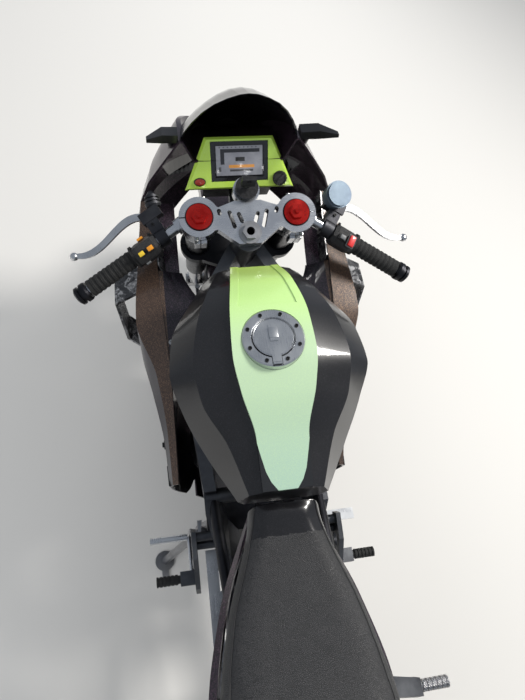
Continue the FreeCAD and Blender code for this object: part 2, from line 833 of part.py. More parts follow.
def inner_leg(side, across):
    tube = upright("inner_tube_" + side, "sizes.fork_inner_r", "sizes.fork_inner_top + 18", "-18", across)
    hand = 1 if side == "right" else -1
    lug = cylinder("lug_" + side, "sizes.fork_lug_r", "2 * sizes.fork_lug_half", ORIGIN, TO_RIGHT)
    lug.setExpression("Placement.Base.x", across + " - sizes.fork_lug_half")
    lug.setExpression("Placement.Base.y", "sizes.fork_offset")
    ear = box("caliper_ear_" + side, "9", "92", "58", ORIGIN)
    ear.setExpression("Placement.Base.x", across + (" - 6.5" if hand > 0 else " - 2.5"))
    ear.setExpression("Placement.Base.y", "sizes.fork_offset - 92")
    ear.Placement.Base.z = 22
    hole = cylinder("axle_hole_" + side, "sizes.axle_r + sizes.bearing_gap", "80", ORIGIN, TO_RIGHT)
    hole.setExpression("Placement.Base.x", across + " - 40")
    hole.setExpression("Placement.Base.y", "sizes.fork_offset")
    return cut("inner_leg_" + side, fuse("inner_leg_full_" + side, tube, lug, ear), hole)


def leg_cap(side, across):
    low = "sizes.fork_outer_top"
    flange = upright("cap_flange_" + side, "sizes.cap_flange_r", "5", low + " + sizes.chain_play", across)
    hexagon = doc.addObject("Part::Prism", "cap_hexagon_" + side)
    hexagon.Polygon = 6
    hexagon.Circumradius = 15
    hexagon.Height = 11
    hexagon.setExpression("Placement.Base.x", across)
    hexagon.setExpression("Placement.Base.y", "sizes.fork_offset")
    hexagon.setExpression("Placement.Base.z", low + " + sizes.chain_play")
    screw = upright("cap_screw_" + side, "5", "15", low + " + sizes.chain_play", across)
    return fuse("leg_cap_" + side, flange, hexagon, screw)


leg_pair("fork_outer_tubes", outer_leg)
leg_pair("fork_inner_tubes", inner_leg)
leg_pair("fork_caps", leg_cap)


# Fork clamps: sketched plates, bored for the legs, slotted and split

def slot_outline(sketch, start, end, radius):
    """Long round-ended hole between two points of the sketch."""
    way = (end - start).normalize()
    side = V(-way.y, way.x, 0) * radius
    first = Part.Arc(start + side, start - way * radius, start - side)
    last = Part.Arc(end - side, end + way * radius, end + side)
    sketch.addGeometry(first)
    sketch.addGeometry(Part.LineSegment(start - side, end - side))
    sketch.addGeometry(last)
    sketch.addGeometry(Part.LineSegment(end + side, start + side))


HALF_BORE = [(1, "fork_half")]
AHEAD = [(1, "fork_offset")]


def clamp(name, low, thick, half_outline, ring_r, front_ring):
    body = doc.addObject("PartDesign::Body", name)
    plate = sketch_on(body, "XY_Plane", name + "_plate")
    mirrored = [([(-sign, term) for sign, term in x], y) for x, y in half_outline]
    outline(plate, half_outline + mirrored[::-1])
    pad(body, plate, name + "_thick", "sizes." + thick)
    rings = sketch_on(body, "XY_Plane", name + "_rings")
    for hand in (1, -1):
        circle(rings, [(hand, "fork_half")], AHEAD, ring_r)
    pad(body, rings, name + "_collars", "sizes." + thick)
    if front_ring:
        tongue = sketch_on(body, "XY_Plane", name + "_tongue")
        circle(tongue, [(1, 0)], front_ring[0], front_ring[1])
        pad(body, tongue, name + "_lock_ring", "sizes." + thick)
    bores = sketch_on(body, "XY_Plane", name + "_bores")
    for hand in (1, -1):
        circle(bores, [(hand, "fork_half")], AHEAD, [(1, "fork_outer_r"), (1, "seat_gap")])
    if front_ring:
        circle(bores, [(1, 0)], front_ring[0], front_ring[2])
        circle(bores, [(1, 0)], [(1, 0)], [(1, "stem_r"), (1, "seat_gap")])
    body.Tip = pocket_through(body, bores, name + "_bored")
    return body


def splits(body, name):
    """Saw cuts that let the collars pinch the legs, from each bore out to the side."""
    saw = sketch_on(body, "XY_Plane", name + "_splits")
    for hand in (1, -1):
        inside = value_of([(1, "fork_half"), (1, "fork_outer_r"), (-3, 1)]) * hand
        outside = value_of([(1, "fork_half"), (1, "fork_outer_r"), (1, "clamp_wall"), (6, 1)]) * hand
        ahead = size("fork_offset")
        corners = [V(inside, ahead - 1.1, 0), V(outside, ahead - 1.1, 0),
                   V(outside, ahead + 1.1, 0), V(inside, ahead + 1.1, 0)]
        for i in range(4):
            saw.addGeometry(Part.LineSegment(corners[i], corners[(i + 1) % 4]))
    body.Tip = pocket_through(body, saw, name + "_split")


collar_r = [(1, "fork_outer_r"), (1, "clamp_wall")]
lock_ahead = [(1, "fork_offset"), (48.8, 1)]
top_clamp = clamp("top_clamp", "top_clamp_low", "top_clamp_t", [
    ([(0, 1)], [(1, "fork_offset"), (30, 1)]),
    ([(26, 1)], [(1, "fork_offset"), (28, 1)]),
    ([(0.6, "fork_half")], [(1, "fork_offset"), (17, 1)]),
    (HALF_BORE, [(1, "fork_offset"), (35, 1)]),
    (HALF_BORE, [(1, "fork_offset"), (-34, 1)]),
    ([(0.64, "fork_half")], [(1, "fork_offset"), (-26, 1)]),
    ([(22, 1)], [(1, "fork_offset"), (-56, 1)]),
    ([(0, 1)], [(1, "fork_offset"), (-64, 1)]),
][1:-1], collar_r, (lock_ahead, [(26, 1)], [(18.3, 1)]))
windows_sketch = sketch_on(top_clamp, "XY_Plane", "top_clamp_windows")
slot_r = size("clamp_slot_w") / 2
middle_x = size("fork_half") * 0.5
for hand in (1, -1):
    ahead = size("fork_offset")
    # a small oval by the collar, a long slot and a shorter one near the stem, fanned outwards
    for front_x, front_y, back_x, back_y in ((9, 10, 8, 5), (-11, 6, -19, -22), (-29, 2, -34, -12)):
        slot_outline(windows_sketch, V(hand * (middle_x + front_x), ahead + front_y, 0),
                     V(hand * (middle_x + back_x), ahead + back_y, 0), slot_r)
top_clamp.Tip = pocket_through(top_clamp, windows_sketch, "top_clamp_slots")
splits(top_clamp, "top_clamp")
node("top_clamp", top_clamp)
top_clamp.Placement = steer_place.multiply(place(V(0, 0, size("top_clamp_low"))))

low_clamp = clamp("low_clamp", "low_clamp_low", "low_clamp_t", [
    ([(30, 1)], [(1, "fork_offset"), (22, 1)]),
    (HALF_BORE, [(1, "fork_offset"), (35, 1)]),
    (HALF_BORE, [(1, "fork_offset"), (-35, 1)]),
    ([(30, 1)], [(1, "fork_offset"), (-60, 1)]),
], collar_r, None)
splits(low_clamp, "low_clamp")
stem_sketch = sketch_on(low_clamp, "XY_Plane", "stem_circle")
circle(stem_sketch, [(1, 0)], [(1, 0)], [(1, "stem_r")])
pad(low_clamp, stem_sketch, "stem", "sizes.top_clamp_low + sizes.top_clamp_t - sizes.low_clamp_low")
hollow_sketch = sketch_on(low_clamp, "XY_Plane", "stem_hollow")
circle(hollow_sketch, [(1, 0)], [(1, 0)], [(1, "stem_bore_r")])
low_clamp.Tip = pocket_through(low_clamp, hollow_sketch, "stem_bore")
node("low_clamp", low_clamp)
low_clamp.Placement = steer_place.multiply(place(V(0, 0, size("low_clamp_low"))))

# Stem nut and ignition lock with its key

nut_low = "sizes.top_clamp_low + sizes.top_clamp_t + sizes.chain_play"
nut_hexagon = doc.addObject("Part::Prism", "stem_nut_hexagon")
nut_hexagon.Polygon = 6
nut_hexagon.setExpression("Circumradius", "sizes.stem_r + 1")
nut_hexagon.Height = 13
nut_hexagon.setExpression("Placement.Base.z", nut_low)
nut_flange = upright("stem_nut_flange", "sizes.stem_r + 7", "4", nut_low, "0", "0")
nut_bore = upright("stem_nut_bore", "sizes.stem_bore_r", "40", nut_low + " - 5", "0", "0")
stem_nut = node("stem_nut", cut("stem_nut_solid", fuse("stem_nut_full", nut_hexagon, nut_flange), nut_bore))
stem_nut.Placement = steer_place

lock_n = "sizes.fork_offset + 48.8"
clamp_top = "sizes.top_clamp_low + sizes.top_clamp_t"
lock_barrel = upright("lock_barrel", "18", "52", "sizes.top_clamp_low - 20", "0", lock_n)
lock_head = upright("lock_head", "22", "7", clamp_top + " + 8", "0", lock_n)
lock_foot = upright("lock_foot", "20", "8", clamp_top + " + sizes.seat_gap", "0", lock_n)
keyhole = box("lock_keyhole", "11", "3", "12", ORIGIN)
keyhole.setExpression("Placement.Base.x", "-5.5")
keyhole.setExpression("Placement.Base.y", lock_n + " - 1.5")
keyhole.setExpression("Placement.Base.z", clamp_top + " + 6")
lock = cut("lock_solid", fuse("lock_full", lock_barrel, lock_foot, lock_head), keyhole)

key_blade = box("key_blade", "10", "2.4", "22", ORIGIN)
key_blade.setExpression("Placement.Base.x", "-5")
key_blade.setExpression("Placement.Base.y", lock_n + " - 1.2")
key_blade.setExpression("Placement.Base.z", clamp_top + " + 7")
key_head = box("key_head", "27", "7", "34", ORIGIN)
key_head.setExpression("Placement.Base.x", "-13.5")
key_head.setExpression("Placement.Base.y", lock_n + " - 3.5")
key_head.setExpression("Placement.Base.z", clamp_top + " + 26")
key_hole = cylinder("key_hole", "5", "20", ORIGIN, turn(X_AXIS, 90))
key_hole.setExpression("Placement.Base.y", lock_n + " + 10")
key_hole.setExpression("Placement.Base.z", clamp_top + " + 51")
key = cut("key_solid", fuse("key_full", key_blade, key_head), key_hole)
ignition_lock = node("ignition_lock", group("lock_and_key", lock, key))
ignition_lock.Placement = steer_place


# Clip-on handlebars. The bar frame starts at the leg: its Z runs out along the bar, its X
# points forward and its Y up.

sweep = math.radians(size("bar_sweep"))
droop = math.radians(size("bar_droop"))
bar_way = V(math.cos(sweep) * math.cos(droop), -math.sin(sweep) * math.cos(droop), -math.sin(droop))
bar_base = V(size("fork_half"), size("fork_offset") + 19.8, size("fork_outer_top") - 37)
bar_up = (Z_AXIS - bar_way * bar_way.z).normalize()
bar_ahead = bar_up.cross(bar_way)
bar_place = place(bar_base, FreeCAD.Rotation(bar_ahead, bar_up, bar_way, "ZXY"))
bar_end = (size("bar_end_x") - size("fork_half")) / bar_way.x
grip_start = bar_end - size("grip_length") - 4


def both_bars(name, right_shapes, left_shapes=None):
    """Node of pieces drawn in the right bar's frame; the left ones are drawn there too and
    mirrored."""
    pieces = []
    for hand, shapes in (("right", right_shapes), ("left", left_shapes or right_shapes)):
        for shape in shapes:
            copy = shape.copy()
            copy.Placement = bar_place.multiply(copy.Placement)
            pieces.append(copy if hand == "right" else left_of(copy))
    return node(name, feature(name, Part.makeCompound(pieces), steer_place))


def one_bar(name, hand, shape):
    copy = shape.copy()
    copy.Placement = bar_place.multiply(copy.Placement)
    piece = copy if hand == "right" else left_of(copy)
    return node(name, feature(name, Part.makeCompound([piece]), steer_place))


def sleeve(outer_r, inner_r, start, end):
    solid = Part.makeCylinder(outer_r, end - start, V(0, 0, start), Z_AXIS)
    return solid.cut(Part.makeCylinder(inner_r, end - start + 2, V(0, 0, start - 1), Z_AXIS))


def clip_on(hand):
    """Split clamp ring round the leg, carrying the bar's tube."""
    ring_r = size("fork_outer_r") + size("clip_ring_wall")
    low = size("top_clamp_low") - size("clip_ring_t") - size("running_gap") * 0.4
    ahead = size("fork_offset")
    ring = Part.makeCylinder(ring_r, size("clip_ring_t"), V(size("fork_half"), ahead, low), Z_AXIS)
    pinch = Part.makeBox(24, 20, size("clip_ring_t"), V(size("fork_half") - 12, ahead - ring_r - 9, low))
    tube = Part.makeCylinder(size("bar_r"), bar_end, ORIGIN, Z_AXIS)
    tube.Placement = bar_place
    collar = Part.makeCylinder(size("bar_r") + 5, 26, V(0, 0, 26), Z_AXIS)
    collar.Placement = bar_place
    leg_bore = Part.makeCylinder(size("fork_outer_r") + size("seat_gap"), 300,
                                 V(size("fork_half"), ahead, low - 100), Z_AXIS)
    slit = Part.makeBox(2.4, 40, 60, V(size("fork_half") - 1.2, ahead - ring_r - 14, low - 10))
    inside = Part.makeBox(60, 200, 200, V(size("fork_half") - 72, ahead - 100, low - 60))
    spare = Part.makeCylinder(size("bar_r") + 8, 40, V(0, 0, -40), Z_AXIS)
    spare.Placement = bar_place
    solid = ring.fuse([pinch, tube, collar]).cut([leg_bore, slit, spare])
    solid = max(solid.Solids, key=lambda piece: piece.Volume).removeSplitter()
    return solid if hand == "right" else left_of(solid)


node("clip_ons", feature("clip_ons", Part.makeCompound([clip_on("right"), clip_on("left")]), steer_place))


def grip():
    """Rubber grip with raised ribs and a flange at its inner end."""
    bore = size("bar_r") + size("seat_gap")
    r, rib = size("grip_r"), size("grip_rib")
    points = [(bore, grip_start), (r + 6, grip_start), (r + 6, grip_start + 5), (r, grip_start + 7)]
    ribs = 9
    step = (size("grip_length") - 16) / ribs
    for i in range(ribs):
        base = grip_start + 9 + i * step
        points += [(r, base + step * 0.2), (r + rib, base + step * 0.35),
                   (r + rib, base + step * 0.75), (r, base + step * 0.9)]
    top = grip_start + size("grip_length")
    points += [(r + 1, top - 3), (r + 1, top), (bore, top)]
    face = Part.Face(Part.makePolygon([V(x, 0, z) for x, z in points + points[:1]]))
    return face.revolve(ORIGIN, Z_AXIS, 360)


def bar_cap():
    """Turned weight that closes the bar's end, in three steps."""
    start = bar_end + size("seat_gap")
    r = size("grip_r")
    points = [(0, start), (r + 1, start), (r + 3, start + 4), (r + 3, start + 12), (r - 1, start + 13),
              (r - 1, start + 17), (r + 2, start + 18), (r + 2, start + 24), (r - 4, start + 28), (0, start + 28)]
    face = Part.Face(Part.makePolygon([V(x, 0, z) for x, z in points + points[:1]]))
    return face.revolve(ORIGIN, Z_AXIS, 360)


both_bars("grips", [grip()])
both_bars("bar_ends", [bar_cap()])

switch_start = grip_start - 52
switch_end = grip_start - size("seat_gap")
perch_end = switch_start - 2
perch_start = perch_end - 22


def switch_housing(hand):
    """Two-piece shell round the bar, higher on the rider's side."""
    half = 18
    sections = []
    for s, grow in ((switch_start, 0.86), (switch_start + 8, 1), (switch_end - 8, 1), (switch_end, 0.9)):
        w = half * grow
        sections.append([(w, -w * 0.9, s), (w * 1.1, w * 0.35, s), (w * 0.6, w * 1.35, s),
                         (-w * 0.75, w * 1.45, s), (-w * 1.35, w * 0.7, s), (-w * 1.3, -w * 0.6, s),
                         (-w * 0.6, -w * 1.15, s)])
    body = loft(sections, ruled=True)
    button = Part.makeBox(10, 9, 16, V(-half * 0.85, half * 1.3, switch_start + 9))
    second = Part.makeBox(9, 10, 12, V(-half * 0.8, half * 1.3, switch_start + 31))
    if hand == "right":
        second = Part.makeBox(24, 12, 14, V(-half * 1.2, half * 1.25, switch_start + 30))
    body = body.fuse([button, second])
    return body.cut(Part.makeCylinder(size("bar_r") + size("seat_gap"), 80, V(0, 0, switch_start - 10), Z_AXIS))


both_bars("switchgear", [switch_housing("right")], [switch_housing("left")])


def perch(hand):
    """Lever bracket: a clamp on the bar and an arm that reaches forward to the lever's pivot."""
    ring = Part.makeCylinder(size("bar_r") + 7, 22, V(0, 0, perch_start), Z_AXIS)
    arm = Part.makeBox(44, 22, 26, V(6, -11, perch_start - 2))
    nose = Part.makeBox(22, 26, 44, V(38, -13, perch_start - 16))
    solid = ring.fuse([arm, nose])
    gap = Part.makeBox(40, size("lever_t") + 2 * size("seat_gap") + 1, 60,
                       V(38, -size("lever_t") / 2 - size("seat_gap") - 0.5, perch_start - 2 + 2))
    bore = Part.makeCylinder(size("bar_r") + size("seat_gap"), 60, V(0, 0, perch_start - 20), Z_AXIS)
    return solid.cut([bore, gap])




def lever():
    """Flat machined blade with a hooked root, a finger bend and a ball at its tip."""
    pivot = perch_start + 14
    reach = size("lever_reach")
    tip = bar_end - 16
    middle = [(48, pivot), (reach + 2, pivot + 26), (reach - 2, (pivot + tip) / 2), (reach + 8, tip)]
    widths = [9, 7.5, 6.5, 6]
    ahead_side = [V(f + w, -size("lever_t") / 2, s) for (f, s), w in zip(middle, widths)]
    back_side = [V(f - w, -size("lever_t") / 2, s) for (f, s), w in zip(middle, widths)]
    front = Part.BSplineCurve()
    front.interpolate(ahead_side)
    back = Part.BSplineCurve()
    back.interpolate(back_side[::-1])
    ends = [Part.LineSegment(ahead_side[-1], back_side[-1]), Part.LineSegment(back_side[0], ahead_side[0])]
    wire = Part.Wire([front.toShape(), ends[0].toShape(), back.toShape(), ends[1].toShape()])
    blade = Part.Face(wire).extrude(V(0, size("lever_t"), 0))
    root = Part.makeCylinder(10, size("lever_t"), V(48, -size("lever_t") / 2, pivot), Y_AXIS)
    ball = Part.makeSphere(8.5, V(reach + 8, 0, tip + 2))
    return blade.fuse([root, ball])


both_bars("levers", [lever()])


def reservoir():
    """Brake fluid cup with a screwed lid, on the master cylinder's neck."""
    spot = V(61, 12, perch_start - 6)
    cup = Part.makeCylinder(24, 24, V(spot.x, spot.y - 4, spot.z), Y_AXIS)
    neck = Part.makeCylinder(7, 30, V(spot.x, spot.y - 26, spot.z), Y_AXIS)
    rim_ring = Part.makeCylinder(27, 7, V(spot.x, spot.y + 20, spot.z), Y_AXIS)
    lid = Part.makeCylinder(24, 4, V(spot.x, spot.y + 27, spot.z), Y_AXIS)
    solid = cup.fuse([neck, rim_ring, lid]).cut(perch("right"))
    return max(solid.Solids, key=lambda piece: piece.Volume)


def adjuster_boot():
    """Ribbed rubber boot on the clutch side, tapering to the cable's end."""
    points = [(0, 0), (14, 0)]
    for i in range(3):
        base = 4 + i * 7
        points += [(16 - i, base), (16 - i, base + 3.5), (12.5 - i, base + 4.5), (12.5 - i, base + 6)]
    points += [(7, 28), (5, 31), (0, 31)]
    face = Part.Face(Part.makePolygon([V(x, 0, z) for x, z in points + points[:1]]))
    solid = face.revolve(ORIGIN, Z_AXIS, 360)
    solid.Placement = place(V(61, -6, perch_start - 16 + 8), turn(Y_AXIS, 112))
    return solid


one_bar("brake_reservoir", "right", reservoir())
both_bars("lever_perches", [perch("right")], [perch("left"), adjuster_boot()])


# Front axle with its collars, in the steering frame

def along_x(name, radius, length, start):
    """Cylinder along X through the axle's spot, its start and length bound to the sheet."""
    obj = cylinder(name, radius, length, ORIGIN, TO_RIGHT)
    obj.setExpression("Placement.Base.x", start)
    obj.setExpression("Placement.Base.y", "sizes.fork_offset")
    return obj


leg_face = "(sizes.fork_half + sizes.fork_lug_half + sizes.seat_gap)"
leg_inside = "(sizes.fork_half - sizes.fork_lug_half - sizes.seat_gap)"
hub_face = "(sizes.front_hub_w / 2 + sizes.seat_gap)"
collar_length = leg_inside + " - " + hub_face
axle_parts = [
    along_x("front_spindle", "sizes.axle_r", "2 * " + leg_face, "-" + leg_face),
    along_x("front_axle_head", "sizes.axle_r + 5", "6", leg_face),
    along_x("front_axle_nut", "sizes.axle_r + 5", "6", "-" + leg_face + " - 6"),
    along_x("right_collar", "sizes.axle_r + 5", collar_length, hub_face),
    along_x("left_collar", "sizes.axle_r + 5", collar_length, "-" + leg_inside),
]
front_bore = along_x("front_axle_bore", "sizes.axle_bore_r", "4 * " + leg_face, "-2 * " + leg_face)
front_axle = node("front_axle", cut("front_axle_solid", fuse("front_axle_full", *axle_parts), front_bore))
front_axle.Placement = steer_place


# Front calipers: four-piston blocks that bridge the discs behind the legs

def caliper(disc_r, disc_x, half_length, inner_w, outer_w, pistons):
    """Block over a disc about X. Its Z points out along the disc's radius, Y along its edge."""
    inside, outside = disc_x - inner_w, disc_x + outer_w
    low, high = disc_r - 56, disc_r + 15
    block = Part.makeBox(outside - inside, 2 * half_length, high - low, V(inside, -half_length, low))
    edges = [e for e in block.Edges if abs(e.tangentAt(e.FirstParameter).x) > 0.9]
    block = block.makeFillet(14, edges)
    slot_half = size("disc_t") / 2 + size("caliper_gap")
    slot = Part.makeCylinder(disc_r + size("caliper_gap"), 2 * slot_half, V(disc_x - slot_half, 0, 0), X_AXIS)
    bridge = Part.makeBox(2 * slot_half, 44, 60, V(disc_x - slot_half, -22, disc_r - 10))
    caps = []
    for offset in pistons:
        caps.append(Part.makeCylinder(15, 4, V(outside, offset, disc_r - 20), X_AXIS))
    return block.cut([slot, bridge]).fuse(caps)


def turned(shape, degrees, centre):
    """Shape turned from the upward radius about X and moved to a wheel's centre."""
    copy = shape.copy()
    copy.rotate(ORIGIN, X_AXIS, degrees)
    copy.translate(centre)
    return copy


front_caliper = caliper(size("front_disc_r"), size("front_disc_x"), 52, 14, 24, (-26, 26))
front_caliper = turned(front_caliper, 76, V(0, size("fork_offset"), 0))
node("front_calipers", feature("front_calipers", Part.makeCompound([front_caliper, left_of(front_caliper)]), steer_place))


# Front mudguard: a thin arched strip between the legs, with side skirts

def mudguard_shape():
    wall = size("panel_wall") * 0.75
    tyre_r = size("front_tyre_r")
    skirt_x = size("fork_half") - size("fork_outer_r") - size("seat_gap")
    line = [(skirt_x, tyre_r - 32), (skirt_x - 3, tyre_r - 4), (skirt_x - 24, tyre_r + 11), (0, tyre_r + 16)]
    outer = line + [(-x, r) for x, r in line[-2::-1]]
    inner = [(x - wall if x > 0 else x + wall if x < 0 else 0, r - (wall if abs(x) < skirt_x - 4 else 0))
             for x, r in outer]
    ring = outer + inner[::-1]
    face = Part.Face(Part.makePolygon([V(x, 0, r) for x, r in ring + ring[:1]]))
    strip = face.revolve(ORIGIN, X_AXIS, 128)
    strip.rotate(ORIGIN, X_AXIS, -76)
    strip.translate(V(0, size("fork_offset"), 0))
    return strip


node("front_mudguard", feature("front_mudguard", mudguard_shape(), steer_place))


# Frame: head tube, twin spars that drop to the pivot plates, and cross tubes

head_low = size("low_clamp_low") + size("low_clamp_t") + size("head_gap")
head_top = size("top_clamp_low") - size("head_gap")
pivot_plate_x = size("chain_x") - 31


head_middle = in_steering(0, 0, (head_low + head_top) / 2)


def spar_beam(margin):
    y, z = head_middle.y, head_middle.z
    return beam([
        ((20, y - 8 + margin, z - 18), 14 + margin, 42 + margin, "y"),
        ((72, y - 82, z - 50), 15 + margin, 40 + margin, "y"),
        ((118, y - 190, z - 90), 14 + margin, 40 + margin, "y"),
        ((132, y - 330, z - 150), 13 + margin, 36 + margin, "y"),
        ((118, y - 470 - margin, z - 230), 13 + margin, 38 + margin, "y"),
    ])


def frame_shape():
    tube = Part.makeCylinder(size("head_tube_r"), head_top - head_low, V(0, 0, head_low), Z_AXIS)
    tube.Placement = steer_place.multiply(tube.Placement)
    middle = head_middle
    pivot_y, pivot_z = size("pivot_y"), size("pivot_z")
    spar = spar_beam(0)
    knee = beam([
        ((118, middle.y - 470, middle.z - 214), 13, 42, "z"),
        ((96, pivot_y + 34, pivot_z + 110), 13, 46, "z"),
        ((pivot_plate_x, pivot_y + 12, pivot_z + 62), 11, 44, "z"),
        ((pivot_plate_x, pivot_y, pivot_z - 88), 11, 34, "z"),
    ])
    right = spar.fuse(knee)
    reach = 118 + 8
    cross = Part.makeCylinder(16, 2 * reach, V(-reach, middle.y - 474, middle.z - 226), X_AXIS)
    low_cross = Part.makeCylinder(14, 2 * pivot_plate_x, V(-pivot_plate_x, pivot_y - 4, pivot_z - 68), X_AXIS)
    high_y, high_z = shock_high.y, shock_high.z
    lug = yz_block([(high_y - 14, high_z - 10), (high_y - 8, high_z + 14), (high_y + 14, high_z + 16),
                    (middle.y - 468, middle.z - 212), (middle.y - 472, middle.z - 238)], 3)
    lug.translate(V(shock_eye_half + size("seat_gap") + 3, 0, 0))
    whole = tube.fuse([right, left_of(right), cross, low_cross, lug, left_of(lug)])
    stem_hole = Part.makeCylinder(size("stem_r") + size("bearing_gap"), 600, V(0, 0, head_low - 100), Z_AXIS)
    stem_hole.Placement = steer_place.multiply(stem_hole.Placement)
    pivot_hole = Part.makeCylinder(size("pivot_r") + size("seat_gap"), 400, V(-200, pivot_y, pivot_z), X_AXIS)
    return whole.cut([stem_hole, pivot_hole]).removeSplitter()


node("frame", feature("frame", frame_shape()))


# Subframe: two rails from the cross tube up to the tail, joined by tubes

def subframe_shape():
    middle = head_middle
    start = V(112, middle.y - 478, middle.z - 228)
    points = [start, V(96, 380, 652), V(86, 226, 676), V(76, 120, 730), V(41.8, -190, 806)]
    rail = rod(points[0], points[1], 12)
    for a, b in zip(points[1:], points[2:]):
        rail = rail.fuse([rod(a, b, 12), Part.makeSphere(12, a)])
    strut = rod(V(76, 545, 430), V(92, 330, 660), 9)
    ties = [rod(V(-96, 380, 652), V(96, 380, 652), 9), rod(V(-76, 120, 730), V(76, 120, 730), 9),
            rod(V(-41, -185, 805), V(41, -185, 805), 9)]
    whole = rail.fuse([strut, left_of(rail), left_of(strut)] + ties).cut(nodes["frame"].Shape)
    return max(whole.Solids, key=lambda piece: piece.Volume).removeSplitter()


rear_subframe = subframe_shape()


# Engine: crankcase, inclined cylinder block and round side covers

case_half = size("engine_half_w") - size("cover_depth")
case_back = size("pivot_y") + 62


def engine_shape():
    back, middle_z = case_back, size("pivot_z")
    case = yz_block([(back, middle_z - 118), (back, middle_z + 34), (back + 36, middle_z + 74),
                     (back + 74, middle_z + 112), (back + 300, middle_z + 112), (back + 322, middle_z + 60),
                     (back + 322, middle_z - 70), (back + 270, middle_z - 142), (back + 40, middle_z - 142)],
                    case_half)
    low, high = middle_z + 112, middle_z + 262
    block = loft([
        [(-98, back + 130, low - 20), (98, back + 130, low - 20), (98, back + 285, low - 20), (-98, back + 285, low - 20)],
        [(-98, back + 190, high), (98, back + 190, high), (98, back + 350, high), (-98, back + 350, high)],
    ], ruled=True)
    head = loft([
        [(-92, back + 196, high), (92, back + 196, high), (92, back + 340, high), (-92, back + 340, high)],
        [(-84, back + 216, high + 44), (84, back + 216, high + 44),
         (84, back + 340, high + 44), (-84, back + 340, high + 44)],
    ], ruled=True)
    notch = Part.makeBox(60, front_sprocket_y + 52 - back + 40, 116,
                         V(-size("chain_x") + 13 - 60, back - 40, front_sprocket_z - 58))
    shaft = Part.makeCylinder(size("axle_r") - size("bearing_gap"), 30,
                              V(-size("chain_x") - 8, front_sprocket_y, front_sprocket_z), X_AXIS)
    return case.fuse([block, head]).cut(notch).fuse(shaft).removeSplitter()


node("engine", feature("engine", engine_shape()))


def side_cover(side, centre_y, centre_z, radius):
    """Domed round cover on the crankcase's side, with a raised inner disc."""
    depth = size("cover_depth")
    start = case_half + size("seat_gap") * 0.5
    points = [(0, 0), (radius, 0), (radius, depth * 0.55), (radius - 9, depth * 0.85),
              (radius * 0.55, depth * 0.85), (radius * 0.5, depth), (0, depth)]
    face = Part.Face(Part.makePolygon([V(x, r, 0) for r, x in points + points[:1]]))
    solid = face.revolve(ORIGIN, X_AXIS, 360)
    solid.translate(V(start, centre_y, centre_z))
    return solid if side == "right" else left_of(solid)


clutch_cover = side_cover("right", case_back + 98, size("pivot_z") + 15, size("clutch_cover_r"))
alternator_cover = side_cover("left", case_back + 232, size("pivot_z") - 5, size("alternator_cover_r"))
cover_start = size("chain_x") + 12
sprocket_cover = yz_block([(front_sprocket_y - 44, front_sprocket_z - 56), (front_sprocket_y - 44, front_sprocket_z + 40),
                           (front_sprocket_y - 10, front_sprocket_z + 57), (front_sprocket_y + 51, front_sprocket_z + 57),
                           (front_sprocket_y + 51, front_sprocket_z - 56)], 9)
sprocket_cover.translate(V(-cover_start - 9, 0, 0))
node("engine_covers", feature("engine_covers", Part.makeCompound([clutch_cover, alternator_cover, sprocket_cover])))


# Radiator with its core and side tanks, and the exhaust under the engine

radiator_place = place(V(0, 1022, 540), turn(X_AXIS, 14))


def radiator_shape():
    core = Part.makeBox(236, 26, 230, V(-118, 0, -115))
    fins = [Part.makeBox(220, 8, 5, V(-110, 22, -105 + 14 * i)) for i in range(16)]
    tank = Part.makeBox(22, 34, 240, V(118, -4, -120))
    lug = Part.makeBox(24, 18, 70, V(84, 0, 100))
    spar = Part.makeCompound([spar_beam(size("seat_gap"))])
    spar.Placement = radiator_place.inverse()
    solid = core.cut(fins).fuse([tank, left_of(tank), lug, left_of(lug)]).cut([spar, left_of(spar)])
    return max(solid.Solids, key=lambda piece: piece.Volume).removeSplitter()


node("radiator", feature("radiator", radiator_shape(), radiator_place))


def pipe_path(points, radius, bend):
    """Round bar along straight runs joined by arcs."""
    edges = []
    start = points[0]
    for a, b, c in zip(points, points[1:], points[2:]):
        u, v = (a - b).normalize(), (c - b).normalize()
        half = math.acos(max(-1, min(1, u.dot(v)))) / 2
        back = bend / math.tan(half)
        p, q = b + u * back, b + v * back
        middle = (u + v).normalize()
        centre = b + middle * (bend / math.sin(half))
        edges.append(Part.LineSegment(start, p).toShape())
        edges.append(Part.Arc(p, centre - middle * bend, q).toShape())
        start = q
    edges.append(Part.LineSegment(start, points[-1]).toShape())
    wire = Part.Wire(edges)
    way = points[1] - points[0]
    ring = Part.Wire([Part.makeCircle(radius, points[0], way)])
    return wire.makePipeShell([ring], True, False)


def exhaust_shape():
    port_z = size("pivot_z") + 225
    port = V(48, case_back + 285 + (port_z - size("pivot_z") - 92) * 65 / 170, port_z)
    way = V(0, 170, -65).normalize()
    front = case_back + 338
    header = pipe_path([port + way * size("seat_gap"), port + way * 36, V(44, front + 30, 330),
                        V(30, front - 60, 196), V(26, case_back + 160, 186)], 17, 26)
    can = yz_block([(case_back + 170, 156), (case_back + 170, 214), (case_back - 20, 214),
                    (case_back - 66, 190), (case_back - 66, 160)], 76)
    can = can.makeFillet(16, [e for e in can.Edges if abs(e.tangentAt(e.FirstParameter).x) > 0.9])
    outlet = rod(V(70, case_back - 20, 182), V(132, case_back - 44, 186), 22)
    outlet = outlet.cut(rod(V(100, case_back - 26, 184), V(140, case_back - 48, 187), 18))
    return can.fuse([header, left_of(header), outlet]).removeSplitter()


node("exhaust", feature("exhaust", exhaust_shape()))


# Rear shock: damper, spring and end eyes, standing ahead of the tyre

